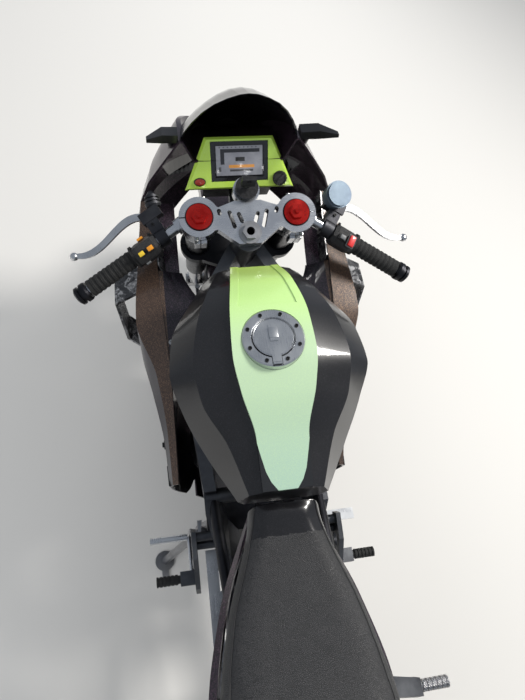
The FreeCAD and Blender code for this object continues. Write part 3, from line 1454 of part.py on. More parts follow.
def shock_shape():
    low, high = shock_low, shock_high
    way = (high - low).normalize()
    body_rod = rod(low + way * 8, high - way * 8, 9)
    damper = rod(low + way * 130, high - way * 22, 24)
    seats = [rod(low + way * 40, low + way * 48, 33), rod(high - way * 40, high - way * 30, 33)]
    eyes = [Part.makeCylinder(shock_eye_r, 2 * shock_eye_half, V(-shock_eye_half, p.y, p.z), X_AXIS)
            for p in (low, high)]
    turns = 6
    start, end = 47, (high - low).Length - 39
    step = (end - start) / turns
    points = [(5, start)]
    for i in range(turns):
        base = start + i * step
        points += [(23, base), (31, base + step * 0.3), (31, base + step * 0.5), (23, base + step * 0.8)]
    points += [(23, end), (5, end)]
    face = Part.Face(Part.makePolygon([V(x, 0, z) for x, z in points + points[:1]]))
    spring = face.revolve(ORIGIN, Z_AXIS, 360)
    spring.Placement = place(low, FreeCAD.Rotation(Z_AXIS, way))
    return body_rod.fuse([damper, spring] + seats + eyes).removeSplitter()


node("rear_shock", feature("rear_shock", shock_shape()))


# Fuel tank: a faceted shell form with a raised middle panel, a filler neck and a flush cap

tank_half = [
    # y, then right half lines of (x, z) from the panel's edge out to the foot
    (612, [(42, 862), (62, 846), (78, 802), (66, 772)]),
    (690, [(44, 891), (88, 872), (122, 812), (100, 745)]),
    (760, [(62, 928), (124, 896), (156, 846), (128, 722)]),
    (815, [(70, 947), (132, 918), (172, 884), (140, 708)]),
    (880, [(67, 952), (122, 922), (166, 880), (142, 703)]),
    (960, [(57, 930), (96, 906), (130, 862), (118, 734)]),
    (1030, [(47, 878), (70, 864), (90, 846), (82, 766)]),
]
cap_spot = V(0, size("cap_y"), size("cap_z"))
lid_depth = 8


def tank_section(y, half, lower, margin):
    """Closed outline of the tank at y, its top lowered and drawn in by a margin."""
    right = [(half[0][0], half[0][1] - lower)] + half[1:]
    right = [(x - margin, z) for x, z in right]
    return [(x, y, z) for x, z in right] + [(-x, y, z) for x, z in right[::-1]]


def tank_shape():
    skin_t = size("tank_skin")
    body = loft([tank_section(y, half, skin_t, 0) for y, half in tank_half])
    neck_drop = lid_depth + size("running_gap")
    neck = Part.makeCylinder(size("neck_r"), 60, cap_spot - V(0, 0, 60 + neck_drop), Z_AXIS)
    room = Part.makeCylinder(size("cap_ring_r") + size("seat_gap"), 40, cap_spot - V(0, 0, 18), Z_AXIS)
    bore = Part.makeCylinder(size("neck_bore_r"), 90, cap_spot - V(0, 0, 70), Z_AXIS)
    spar_room = spar_beam(size("seat_gap"))
    return body.cut(room).fuse(neck).cut([bore, spar_room, left_of(spar_room)]).removeSplitter()


node("fuel_tank", feature("fuel_tank", tank_shape()))


def tank_panel_shape():
    """Middle panel: a strip as thick as the tank's skin, open round the cap."""
    sections = []
    thick = size("tank_skin") - size("seat_gap")
    for y, half in tank_half:
        x, z = half[0]
        inset = x - 1
        sections.append([(inset, y, z), (-inset, y, z), (-inset, y, z - thick), (inset, y, z - thick)])
    strip = loft(sections)
    room = Part.makeCylinder(size("cap_ring_r") + size("seat_gap"), 60, cap_spot - V(0, 0, 30), Z_AXIS)
    trough = []
    for y, half in tank_half:
        x, z = half[0]
        x -= size("trough_edge")
        trough.append([(x, y, z + 9), (-x, y, z + 9), (-x + 5, y, z - size("trough_depth")),
                       (x - 5, y, z - size("trough_depth"))])
    ahead = Part.makeBox(200, 200, 200, V(-100, size("cap_y") + size("cap_ring_r") + 12, 800))
    return strip.cut([room, loft(trough).common(ahead)]).removeSplitter()


node("tank_panel", feature("tank_panel", tank_panel_shape()))


def cap_ring_shape():
    """Flange of the cap: a turned ring with a step for the lid and a hinge seat at the back."""
    ring_r, lid_r = size("cap_ring_r"), size("cap_lid_r")
    points = [(size("neck_r") + size("seat_gap"), -17), (ring_r, -17), (ring_r, -1), (ring_r - 2, 1),
              (lid_r + 3, 1), (lid_r + 1, -2), (lid_r + 1, -9), (size("neck_r") + size("seat_gap"), -9)]
    face = Part.Face(Part.makePolygon([V(x, 0, z) for x, z in points + points[:1]]))
    ring = face.revolve(ORIGIN, Z_AXIS, 360)
    tab_room = Part.makeBox(17, 22, 12, V(-8.5, -lid_r - 17, -5))
    return ring.cut(tab_room)


cap_ring = feature("cap_ring", cap_ring_shape(), place(cap_spot))
node("fuel_cap_ring", cap_ring)


def fuel_lid_shape():
    """Round lid with a key flap and a hinge tab that reaches back over the ring."""
    lid_r = size("cap_lid_r")
    points = [(0, -lid_depth), (lid_r - 1, -lid_depth), (lid_r, 1 - lid_depth), (lid_r, 0), (lid_r - 2, 2), (0, 2)]
    face = Part.Face(Part.makePolygon([V(x, 0, z) for x, z in points + points[:1]]))
    lid = face.revolve(ORIGIN, Z_AXIS, 360)
    flap = Part.makeBox(13, 30, 2, V(-6.5, -8, 1.6))
    tab = Part.makeBox(15, 20, 4, V(-7.5, -lid_r - 13, -2))
    pin = Part.makeCylinder(2.6, 15, V(-7.5, -lid_r - 12, 0), X_AXIS)
    return lid.fuse([flap, tab, pin]).removeSplitter()


node("fuel_lid", feature("fuel_lid", fuel_lid_shape(), place(cap_spot)))


# Seats: rider's and passenger's cushions

def cushion(stations, margin):
    """Closed cushion: a station is (y, half width, top, edge drop, foot); the margin grows it."""
    sections = []
    last = len(stations) - 1
    for i, (y, half, top, drop, foot) in enumerate(stations):
        y += margin if i == 0 else -margin if i == last else 0
        right = [(half * 0.55, top), (half * 0.86, top - drop * 0.2), (half, top - drop), (half - 6, foot)]
        right = [(x + margin, z + margin if z > foot else z - margin) for x, z in right]
        sections.append([(x, y, z) for x, z in right] + [(-x, y, z) for x, z in right[::-1]])
    return loft(sections)


rider_line = [
    (606, 66, 812, 26, 728), (560, 78, 792, 26, 722), (450, 118, 780, 28, 700), (361, 140, 778, 30, 696),
    (296, 150, 786, 32, 694), (226, 138, 826, 34, 722),
]
pillion_line = [
    (218, 112, 884, 24, 786), (120, 112, 892, 26, 818), (0, 98, 900, 26, 838), (-96, 74, 906, 24, 846),
]
node("rider_seat", feature("rider_seat", cushion(rider_line, 0)))
node("pillion_seat", feature("pillion_seat", cushion(pillion_line, 0)))


# Tail: an arched cowl from the rider's seat to the tip, lamp and plate holder

tail_line = [
    (600, 0.0, 740, [(0, 738), (52, 738), (58, 712), (52, 690)]),
    (450, 0.0, 740, [(0, 712), (108, 712), (124, 696), (112, 664)]),
    (300, 0.0, 740, [(0, 704), (138, 704), (156, 688), (140, 650)]),
    (205, 0.1, 740, [(0, 806), (126, 800), (152, 756), (134, 690)]),
    (60, 0.1, 740, [(0, 842), (104, 836), (130, 800), (106, 744)]),
    (-120, 0.2, 740, [(0, 856), (78, 850), (96, 826), (72, 790)]),
    (-345, 0.2, 740, [(0, 886), (30, 882), (38, 868), (26, 848)]),
]
tail_skin = skin([(y, slope, z0, arch(half)) for y, slope, z0, half in tail_line], size("panel_wall"))
tail_cowl = tail_skin.cut([cushion(rider_line, size("seat_gap")), cushion(pillion_line, size("seat_gap"))])
node("tail_cowl", feature("tail_cowl", max(tail_cowl.Solids, key=lambda piece: piece.Volume)))


def tail_lamp_shape():
    """Lamp that closes the tail's end, drawn in towards its back face."""
    y0, slope, z0, half = tail_line[-1]
    sections = []
    for depth, scale in ((size("seat_gap"), 1), (14, 0.94), (22, 0.8)):
        middle_z = (half[0][1] + half[-1][1]) / 2
        ring = [(x * scale, middle_z + (z - middle_z) * scale) for x, z in arch(half)]
        sections.append([(x, y0 + slope * (z - z0) - depth, z) for x, z in ring])
    return loft(sections, ruled=True)


node("tail_lamp", feature("tail_lamp", tail_lamp_shape()))


def rear_mudguard_shape():
    """Lip that hangs from the tail behind the tyre, with a flat end."""
    start = -194 - size("seat_gap")
    arm = beam([((0, start, 805), 34, 12, "y"), ((0, -330, 772), 30, 10, "y"), ((0, -396, 700), 38, 7, "y"),
                ((0, -424, 640), 46, 5, "y")])
    return arm


node("rear_mudguard", feature("rear_mudguard", rear_mudguard_shape()))



# Side fairings: one wall each, with a rim that turns inwards beside the rider's arms

side_lines = [
    # y at height z0, slope, z0, then (x, z) from the rim's inner lip down to the bottom edge
    (716, -0.1, 500, [(184, 520), (196, 512), (204, 480), (203, 440), (199, 400), (190, 350), (176, 300)]),
    (790, 0.15, 500, [(180, 598), (196, 590), (206, 556), (205, 500), (200, 420), (190, 340), (164, 268)]),
    (850, 0.3, 500, [(177, 694), (206, 684), (220, 630), (215, 540), (204, 430), (190, 335), (156, 252)]),
    (898, 0.45, 500, [(182, 744), (238, 736), (236, 660), (222, 560), (206, 440), (190, 335), (150, 246)]),
    (1000, 0.45, 500, [(186, 772), (228, 764), (240, 680), (224, 570), (204, 445), (186, 335), (146, 246)]),
    (1085, 0.45, 500, [(188, 802), (216, 794), (228, 700), (212, 585), (194, 450), (175, 335), (140, 248)]),
    (1261, 0.1, 800, [(190, 818), (211, 808), (218, 776), (221, 742), (221, 706), (218, 672), (213, 640)]),
]


def side_core(depth):
    """Solid from the middle plane out to a depth under the right fairing's face."""
    sections = []
    for y0, slope, z0, line in side_lines:
        edge = inset_line(line, depth) if depth else line
        ring = edge + [(0, edge[-1][1]), (0, edge[0][1])]
        sections.append([(x, y0 + slope * (z - z0), z) for x, z in ring])
    return loft(sections)


def side_fairing():
    wall = skin(side_lines, size("panel_wall"))
    post = Part.makeCylinder(9, 110, V(124, 960, 636), X_AXIS)
    core = side_core(size("panel_wall") / 2)
    post = post.common(core).cut(frame_solid)
    return wall.fuse(post).removeSplitter()


# inner end of the flat panel at each line of the fairing: (x, z)
inner_ends = [(150, 510), (148, 590), (147, 700), (94, 738), (136, 750), (150, 785), (158, 795)]


def inner_panel():
    """Flat panel that closes the space between the rim and the tank, tucked under the rim."""
    stations = []
    for (y0, slope, z0, line), end in zip(side_lines, inner_ends):
        edge = inset_line(line, size("panel_wall") + 2 * size("seat_gap"))
        (x0, low), (x1, high) = edge[:2]
        share = 7 / math.hypot(x1 - x0, high - low)
        tuck = (x0 + share * (x1 - x0), low + share * (high - low))
        middle = ((x0 + end[0]) / 2, (low + end[1]) / 2 - 2)
        stations.append((y0, slope, z0, [end, middle, (x0, low), tuck]))
    sheet = skin(stations, size("panel_wall") * 0.75)
    reach = Part.makeBox(240, inner_front_y - inner_back_y, 200, V(0, inner_back_y, 620))
    spar_room = spar_beam(size("seat_gap"))
    whole = max(sheet.common(reach).cut(spar_room).Solids, key=lambda piece: piece.Volume)
    return whole.removeSplitter()


inner_back_y, inner_front_y = 906, 1112
frame_solid = nodes["frame"].Shape
right_fairing = side_fairing()
right_inner = inner_panel()
node("side_fairings", feature("side_fairings", Part.makeCompound(
    [right_fairing, left_of(right_fairing), right_inner, left_of(right_inner)])))


# Inner cockpit panels, from the rim's lip down beside the fork

def cockpit_panel():
    stations = []
    for y0, slope, z0, line in side_lines[4:]:
        x, z = line[0]
        x -= 4 * size("seat_gap")
        stations.append((y0, slope, z0, [(x, z - 1), (x - 16, z - 42), (x - 22, z - 84)]))
    return skin(stations, size("panel_wall") * 0.75)


right_panel = cockpit_panel()
node("cockpit_panels", feature("cockpit_panels", Part.makeCompound([right_panel, left_of(right_panel)])))


# Belly pan under the engine

def lower_line(half):
    """Line from the right top edge round the bottom to the left top edge."""
    return half + [(-x, z) for x, z in half[::-1] if x > 0]


belly_lines = [
    (735, 0.0, 200, [(150, 252), (128, 200), (86, 146), (0, 138)]),
    (860, 0.0, 200, [(149, 238), (128, 186), (86, 128), (0, 118)]),
    (985, 0.2, 200, [(138, 238), (112, 186), (66, 138), (0, 128)]),
    (1040, 0.3, 200, [(128, 240), (92, 196), (50, 170), (0, 164)]),
]


def belly_pan():
    pan = skin([(y, s, z0, lower_line(half)) for y, s, z0, half in belly_lines], size("panel_wall"))
    engine_low = size("pivot_z") - 142
    post = Part.makeCylinder(8, 110, V(72, 850, engine_low - 106), Z_AXIS)
    depth = size("panel_wall") / 2
    inside = loft([[(x, y + s * (z - z0), z) for x, z in inset_line(lower_line(half), depth)]
                   for y, s, z0, half in belly_lines])
    post = post.common(inside).cut(nodes["engine"].Shape)
    return pan.fuse([post, left_of(post)]).removeSplitter()


node("belly_pan", feature("belly_pan", belly_pan()))


# Nose cowl: an arch with raised ridges that carry the screen's foot

nose_lines = [
    (1262, 0.1, 800, [(0, 905), (92, 908), (112, 952), (121, 955), (163, 897), (190, 858), (211, 808),
                      (221, 742), (221, 706), (213, 640)]),
    (1340, 0.2, 800, [(0, 893), (92, 896), (112, 926), (122, 928), (156, 880), (178, 842), (197, 792),
                      (206, 732), (204, 700), (190, 646)]),
    (1412, 0.3, 800, [(0, 858), (72, 860), (90, 880), (99, 880), (126, 848), (142, 820), (156, 782),
                      (162, 738), (158, 706), (140, 664)]),
    (1478, 0.3, 800, [(0, 806), (24, 806), (34, 812), (42, 811), (56, 796), (66, 780), (75, 760),
                      (80, 738), (78, 716), (66, 690)]),
]
nose_skin = skin([(y, s, z0, arch(half)) for y, s, z0, half in nose_lines], size("panel_wall"))


def lamp_cutter(shrink):
    """Prism that cuts the right headlamp's window out of the nose, seen from the front."""
    points = [(62 + shrink, 706 + shrink), (150 - shrink, 738 + shrink), (166 - shrink, 776 - shrink),
              (96, 764 - shrink), (62 + shrink, 742 - shrink)]
    face = Part.Face(Part.makePolygon([V(x, 1300, z) for x, z in points + points[:1]]))
    return face.extrude(V(0, 260, 0))


dash_tilt = 54.5
dash_place = place(V(0, 1271, 900), turn(X_AXIS, dash_tilt))


def dash_body(margin):
    """Outer form of the dash surround, wider at its foot; the margin grows it."""
    rings = [(-22, 112, 68, 49), (-4, 115, 70, 51), (2, 108, 66, 47)]
    sections = []
    for i, (z, low, high, rise) in enumerate(rings):
        z += -margin if i == 0 else margin if i == 2 else 0
        low, high, rise = low + margin, high + margin, rise + margin
        sections.append([(-low, -rise, z), (low, -rise, z), (high, rise, z), (-high, rise, z)])
    return loft(sections, ruled=True)


dash_room = Part.makeCompound([dash_body(size("seat_gap"))])
dash_room.Placement = dash_place
lamp_window = lamp_cutter(0)
nose_cowl = nose_skin.cut([lamp_window, left_of(lamp_window), dash_room])
node("nose_cowl", feature("nose_cowl", max(nose_cowl.Solids, key=lambda s: s.Volume)))
lens = nose_skin.common(lamp_cutter(size("seat_gap")))
node("headlamps", feature("headlamps", Part.makeCompound(lens.Solids + left_of(lens).Solids)))


# Windscreen: a tall bubble on the nose's ridges

screen_lines = [
    (1276, -0.46, 980, [(0, 1104), (16, 1101), (36, 1090), (58, 1072), (78, 1046), (96, 1012), (109, 980), (117, 952)]),
    (1336, -0.2, 930, [(0, 1044), (20, 1040), (42, 1027), (64, 1008), (83, 986), (99, 962), (111, 944), (118, 929)]),
    (1406, 0.0, 890, [(0, 960), (18, 957), (38, 947), (57, 934), (73, 920), (86, 906), (93, 896), (98, 885)]),
    (1478, 0.1, 810, [(0, 836), (8, 835), (15, 832), (22, 828), (29, 823), (34, 817), (38, 811), (41, 803)]),
]
screen = skin([(y, s, z0, arch(half)) for y, s, z0, half in screen_lines], size("screen_wall"))
nose_core = loft([[(x, y + s * (z - z0), z + size("seat_gap")) for x, z in arch(half)]
                  for y, s, z0, half in nose_lines])
screen = screen.cut([nose_core, dash_room])
node("windscreen", feature("windscreen", max(screen.Solids, key=lambda piece: piece.Volume)))


# Dash: a surround that tilts to the rider, its display, switch and socket

display_h = size("display_w") * 0.66


def dash_surround():
    outer = dash_body(0)
    room = size("display_w") / 2 + size("seat_gap")
    rise = display_h / 2 + size("seat_gap")
    opening = Part.makeBox(2 * room, 2 * rise, 20, V(-room, -rise + 4, -size("display_t")))
    holes = [Part.makeCylinder(7 + size("seat_gap"), 40, V(-84, -34, -10), Z_AXIS),
             Part.makeCylinder(12 + size("seat_gap"), 40, V(84, -32, -10), Z_AXIS)]
    return outer.cut([opening] + holes)


node("dash_surround", feature("dash_surround", dash_surround(), dash_place))
display = Part.makeBox(size("display_w"), display_h, size("display_t"),
                       V(-size("display_w") / 2, -display_h / 2 + 4, -size("display_t") + size("seat_gap")))
display = display.makeFillet(5, [e for e in display.Edges if abs(e.tangentAt(e.FirstParameter).z) > 0.9])
screen_dip = Part.makeBox(size("display_w") - 16, display_h - 14, 3,
                          V(-size("display_w") / 2 + 8, -display_h / 2 + 11, -1.2))
node("dash_display", feature("dash_display", display.cut(screen_dip), dash_place))
switch = Part.makeCylinder(7, 14, V(-84, -34, -9.7), Z_AXIS)
socket = Part.makeCylinder(12, 15, V(84, -32, -9.7), Z_AXIS)
socket = socket.cut([Part.makeCylinder(1.2, 30, V(84 + 12 * math.cos(a), -32 + 12 * math.sin(a), -4), Z_AXIS)
                     for a in [math.radians(45 * i) for i in range(8)]])
node("dash_controls", feature("dash_controls", Part.makeCompound([switch, socket]), dash_place))


# Fairing stay: from the head tube's front between the legs, up to the dash and the nose

def stay_shape():
    root = in_steering(0, size("head_tube_r") - 4, 520)
    arm = beam([
        ((0, root.y, root.z), 20, 14, "y"),
        ((0, 1300, 832), 20, 13, "y"),
        ((0, 1400, 843), 16, 11, "y"),
    ])
    upright_plate = beam([((0, 1296, 826), 34, 10, "z"), ((0, 1296, 900), 46, 10, "z")])
    solid = arm.fuse(upright_plate)
    shoe = Part.makeBox(120, 16, 20, V(-60, 1392, 838))
    solid = solid.fuse(shoe)
    solid = solid.cut([frame_solid, nose_skin, nodes["dash_surround"].Shape])
    return max(solid.Solids, key=lambda piece: piece.Volume).removeSplitter()


node("subframes", feature("subframes", Part.makeCompound([rear_subframe, stay_shape()])))


# Winglets: a bent blade loop on each side, open between it and the fairing

def winglet():
    # outer point of the loop as (x, leading y, trailing y, z), from the top root to the low root
    path = [(226, 1186, 1112, 694), (288, 1156, 1090, 680), (274, 1110, 1048, 590), (216, 1086, 1022, 548)]
    thick = size("panel_wall")
    inner = [(222, 689), (282, 675), (268, 594), (218, 553)]
    sections = []
    for (x, lead, trail, z), (xi, zi) in zip(path, inner):
        sections.append([(x, lead, z), (xi, lead, zi), (xi, trail, zi), (x, trail, z)])
    blade = loft(sections, ruled=True)
    blade = blade.cut(side_core(0))
    return max(blade.Solids, key=lambda piece: piece.Volume)


right_wing = winglet()
node("winglets", feature("winglets", Part.makeCompound([right_wing, left_of(right_wing)])))


# Mirrors, folded in: a stem on the nose and a pointed blade

def mirror():
    stem = rod(V(134, 1302, 915), V(140, 1290, 960), 8)
    blade = loft([
        [(122, 1278, 950), (122, 1308, 946), (122, 1306, 964), (122, 1280, 966)],
        [(152, 1254, 972), (152, 1284, 968), (152, 1282, 986), (152, 1256, 989)],
        [(180, 1228, 998), (180, 1240, 996), (180, 1240, 1002), (180, 1229, 1004)],
    ], ruled=True)
    solid = stem.fuse(blade).cut([nose_skin, nodes["windscreen"].Shape])
    return max(solid.Solids, key=lambda piece: piece.Volume).removeSplitter()


right_mirror = mirror()
node("mirrors", feature("mirrors", Part.makeCompound([right_mirror, left_of(right_mirror)])))


# Footrests and pedals

arm_gap = size("running_gap")


def both_sides(name, *right):
    return node(name, feature(name, Part.makeCompound(list(right) + [left_of(shape) for shape in right])))


def rearset():
    """Heel plate on two bosses from the frame's knee, with the peg's fork at its lower end."""
    peg_y, peg_z = size("peg_y"), size("peg_z")
    plate = yz_block([(peg_y - 34, peg_z - 10), (peg_y - 16, peg_z - 44), (peg_y + 16, peg_z - 44),
                      (peg_y + 36, peg_z - 10), (peg_y + 92, peg_z + 66),
                      (peg_y + 84, peg_z + 96), (peg_y + 30, peg_z + 84), (peg_y - 26, peg_z + 24)], 5)
    plate.translate(V(160, 0, 0))
    hole = Part.makeCylinder(15, 40, V(140, peg_y + 36, peg_z + 44), X_AXIS)
    bosses = [Part.makeCylinder(10, 90, V(70, peg_y + 76, peg_z + 70), X_AXIS),
              Part.makeCylinder(10, 90, V(70, peg_y + 62, peg_z + 42), X_AXIS)]
    knuckle = Part.makeBox(size("peg_root_x") - 164, 30, 26, V(164, peg_y - 15, peg_z - 13))
    solid = plate.cut(hole).fuse(bosses + [knuckle]).cut(frame_solid)
    return max(solid.Solids, key=lambda piece: piece.Volume).removeSplitter()


def peg(root_x, y, z, length, radius):
    """Footpeg with cut grooves."""
    points = [(0, 0), (radius * 0.8, 0), (radius * 0.8, 6)]
    grooves = 5
    step = (length - 10) / grooves
    for i in range(grooves):
        base = 6 + i * step
        points += [(radius, base), (radius, base + step * 0.7), (radius * 0.84, base + step * 0.75),
                   (radius * 0.84, base + step)]
    points += [(radius, length - 4), (radius, length), (0, length)]
    face = Part.Face(Part.makePolygon([V(x, r, 0) for r, x in points + points[:1]]))
    solid = face.revolve(ORIGIN, X_AXIS, 360)
    solid.translate(V(root_x, y, z))
    return solid


rider_peg = peg(size("peg_root_x") + size("seat_gap"), size("peg_y"), size("peg_z"), size("peg_length"), size("peg_r"))


def passenger_bracket():
    arm = beam([
        ((91, 300, 664), 8, 18, "z"),
        ((102, 298, 628), 8, 18, "z"),
        ((150, 290, 604), 9, 17, "z"),
        ((236, 272, 563), 7, 15, "z"),
        ((236, 271, 528), 7, 14, "z"),
    ])
    solid = arm.cut(rear_subframe)
    return max(solid.Solids, key=lambda piece: piece.Volume)


both_sides("footrest_brackets", rearset(), passenger_bracket())
both_sides("footrests", rider_peg, peg(243 + size("seat_gap"), 271, 545, 58, size("peg_r")))


def gear_lever():
    y, z = size("peg_y"), size("peg_z")
    root = Part.makeCylinder(11, 9, V(-174 - size("seat_gap"), y, z - 28), X_AXIS)
    blade = rod(V(-172, y, z - 28), V(-174, y + 92, z - 58), 5)
    toe = Part.makeCylinder(8, 88, V(-265, y + 94, z - 59), X_AXIS)
    return root.fuse([blade, toe]).removeSplitter()


def brake_pedal():
    y, z = size("peg_y"), size("peg_z")
    root = Part.makeCylinder(12, 9, V(165 + size("seat_gap"), y, z - 29), X_AXIS)
    blade = rod(V(171, y, z - 29), V(176, y + 96, z - 66), 5)
    pad_block = Part.makeBox(66, 26, 8, V(172, y + 86, z - 66))
    return root.fuse([blade, pad_block]).removeSplitter()


node("foot_levers", feature("foot_levers", Part.makeCompound([gear_lever(), brake_pedal()])))


# Rear caliper on its carrier, which sits on the axle's collar beside the right arm

collar_r = size("axle_r") + 5


def rear_brake():
    body = caliper(size("rear_disc_r"), size("rear_disc_x"), 34, 11, 20, (0,))
    angle = -62
    body = turned(body, angle, rear_axle_spot)
    ring = Part.makeCylinder(27, 10, V(size("arm_in_x") - 11, 0, size("rear_tyre_r")), X_AXIS)
    plate = Part.makeBox(10, 40, size("rear_disc_r") + 6, V(size("arm_in_x") - 11, -20, 0))
    plate = turned(plate, angle, rear_axle_spot)
    foot = Part.makeBox(8, 50, 36, V(size("rear_disc_x") + 20, -25, size("rear_disc_r") - 30))
    foot = turned(foot, angle, rear_axle_spot)
    bore = Part.makeCylinder(collar_r + size("seat_gap"), 60, V(size("arm_in_x") - 40, 0, size("rear_tyre_r")), X_AXIS)
    return body.fuse([ring, plate, foot]).cut(bore).removeSplitter()


node("rear_caliper", feature("rear_caliper", rear_brake()))


# Side stand: a leg that stands on the ground when the bike leans, on a pin beside the engine

lean = math.radians(size("lean_angle"))
lean_turn = turn(Y_AXIS, -size("lean_angle"))
ground_rise = size("rear_crown_r") * (1 - math.cos(lean))
stand_hinge = V(size("stand_x") - 20, size("stand_y"), size("stand_z"))
foot_x = size("stand_foot_x")
foot_spot = V(foot_x, size("stand_foot_y"), (-ground_rise - foot_x * math.sin(lean)) / math.cos(lean))
leg_down = foot_spot - stand_hinge
leg_back = V(-30, -leg_down.Length, 24)
stand_axis = leg_down.cross(leg_back).normalize()
stand_travel = math.degrees(leg_down.getAngle(leg_back))


def stand_leg():
    way = leg_down.normalize()
    end = foot_spot - way * 6
    leg = rod(stand_hinge + way * 46, end, size("stand_leg_r"))
    eye = Part.makeCylinder(15, 16, stand_hinge - stand_axis * 8, stand_axis)
    side = stand_axis.cross(way).normalize() * size("stand_leg_r")
    low = stand_hinge - stand_axis * 8
    blade = Part.Face(Part.makePolygon([low + side, low + side + way * 52, low - side + way * 52, low - side,
                                        low + side])).extrude(stand_axis * 16)
    eye = eye.fuse(blade)
    flat = place(foot_spot, lean_turn.inverted())
    foot = Part.makeCylinder(27, 7, ORIGIN, Z_AXIS)
    foot.Placement = flat
    toe = Part.makeBox(18, 34, 7, V(-9, -52, 0))
    toe.Placement = flat
    below = Part.makeBox(200, 200, 100, V(-100, -100, -100))
    below.Placement = flat
    bore = Part.makeCylinder(6 + size("bearing_gap"), 60, stand_hinge - stand_axis * 30, stand_axis)
    return leg.fuse([eye, foot, toe]).cut([below, bore]).removeSplitter()


node("side_stand", feature("side_stand", stand_leg()))


def stand_bracket():
    """Bracket on the crankcase whose two cheeks hold the stand's pin, open where the leg turns."""
    block = Part.makeBox(26, 50, 54, V(size("stand_x") - 24, stand_hinge.y - 25, stand_hinge.z - 25))
    pin = Part.makeCylinder(6, 56, stand_hinge - stand_axis * 28, stand_axis)
    room = Part.makeCylinder(70, 16 + 2 * size("seat_gap"), stand_hinge - stand_axis * (8 + size("seat_gap")),
                             stand_axis)
    return block.cut(room).fuse(pin).cut(nodes["engine"].Shape)


node("stand_bracket", feature("stand_bracket", stand_bracket()))


# Rest position: leaned on the stand, tyres on the ground, origin at the bottom middle

doc.recompute()
lean_place = place(ORIGIN, lean_turn)
corners = FreeCAD.BoundBox()
for obj in nodes.values():
    copy = obj.Shape.copy()
    copy.Placement = lean_place.multiply(copy.Placement)
    corners.add(copy.optimalBoundingBox(False))
shift = V(-(corners.XMin + corners.XMax) / 2, -(corners.YMin + corners.YMax) / 2, ground_rise)
rest_place = place(shift, lean_turn)
for obj in nodes.values():
    obj.Placement = rest_place.multiply(obj.Placement)
doc.recompute()

for obj in doc.Objects:
    if "Invalid" in obj.State or "Error" in obj.State:
        raise RuntimeError("%s failed: %s" % (obj.Label, obj.State))
for name, obj in nodes.items():
    if obj.Shape.isNull() or not obj.Shape.isValid():
        raise RuntimeError("%s has no valid shape" % name)
for name, obj in nodes.items():
    obj.Shape.exportStep("parts/%s.step" % name)
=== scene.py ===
# %% [markdown]
# This lesson dresses a sport bike. All lengths are metres. The bike leans on its side stand,
# so its own upright axes are kept in one matrix, and pieces are drawn upright and then leaned
# with it.

# %% Load the frame
import bpy
import json
import math
from mathutils import Matrix, Vector


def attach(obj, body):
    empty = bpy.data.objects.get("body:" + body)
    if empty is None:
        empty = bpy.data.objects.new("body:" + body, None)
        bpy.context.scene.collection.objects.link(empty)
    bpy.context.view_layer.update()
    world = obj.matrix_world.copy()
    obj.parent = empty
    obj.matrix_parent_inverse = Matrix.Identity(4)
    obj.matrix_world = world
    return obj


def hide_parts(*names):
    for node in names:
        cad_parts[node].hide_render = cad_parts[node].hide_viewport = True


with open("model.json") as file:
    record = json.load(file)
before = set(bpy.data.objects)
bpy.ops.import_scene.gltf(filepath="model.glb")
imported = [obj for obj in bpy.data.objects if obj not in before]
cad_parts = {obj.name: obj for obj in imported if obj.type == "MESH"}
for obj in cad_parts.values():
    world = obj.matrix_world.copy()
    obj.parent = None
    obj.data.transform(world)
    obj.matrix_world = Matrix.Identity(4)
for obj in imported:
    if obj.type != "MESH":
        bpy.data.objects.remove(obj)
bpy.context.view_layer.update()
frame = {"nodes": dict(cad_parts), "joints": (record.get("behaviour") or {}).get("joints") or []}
MM = 0.001

# %% [markdown]
# The rear axle's joint gives the lean: its axis is the bike's own left-to-right direction.
# The steering joint gives the head's axis. With both, a point can be named as on an upright
# bike: x to the right, y forward from the rear axle, z up from the ground.

# %% The bike's own axes
joints = {joint["name"]: joint for joint in frame["joints"]}
axle = Vector(joints["rear_wheel"]["pos_m"])
across = Vector(joints["rear_wheel"]["axis"]).normalized()
lean = math.atan2(across.z, across.x)
REAR_AXLE_HEIGHT = 0.312
bike = Matrix.Translation(axle) @ Matrix.Rotation(-lean, 4,
                                                  "Y") @ Matrix.Translation((0, 0, -REAR_AXLE_HEIGHT))
RAKE = math.radians(24)
head = Vector(joints["steering"]["pos_m"])
steer = Matrix.Translation(head) @ Matrix.Rotation(-lean, 4, "Y") @ Matrix.Rotation(RAKE, 4, "X")
print("lean", round(math.degrees(lean), 2))


def at(x, y, z):
    """Point in the row frame from upright millimetres."""
    return bike @ Vector((x * MM, y * MM, z * MM))


# %% [markdown]
# The camera stands where the photographer stood: beside the seat, looking down and forward
# over the tank to the dash. The photograph is 525 by 700, so the lens is set on the long side.

# %% Camera
FOCAL_PIXELS = 521.1
LONG_SIDE = 700
eye = Vector((-0.140, 0.4626, 1.6936))
right = Vector((0.98597, -0.13975, 0.09127)).normalized()
upward = Vector((0.0859, 0.89367, 0.44042)).normalized()
back = right.cross(upward).normalized()
camera_data = bpy.data.cameras.new("camera")
camera_data.sensor_fit = "AUTO"
camera_data.sensor_width = 36
camera_data.lens = FOCAL_PIXELS * camera_data.sensor_width / LONG_SIDE
camera_data.clip_start = 0.01
camera = bpy.data.objects.new("camera", camera_data)
bpy.context.scene.collection.objects.link(camera)
turned = Matrix((right, upward, back)).transposed().to_4x4()
camera.matrix_world = bike @ Matrix.Translation(eye) @ turned
bpy.context.scene.camera = camera
print("lens", round(camera_data.lens, 2))

# %% [markdown]
# A plain pale floor and a soft studio: a dim even world, one lamp high on the right, where the
# sun stands in the photograph, and weaker ones on the left and in front to open the shadows.
# Only the first lamp shows in glossy paint, and the world looks darker there, so black stays black.

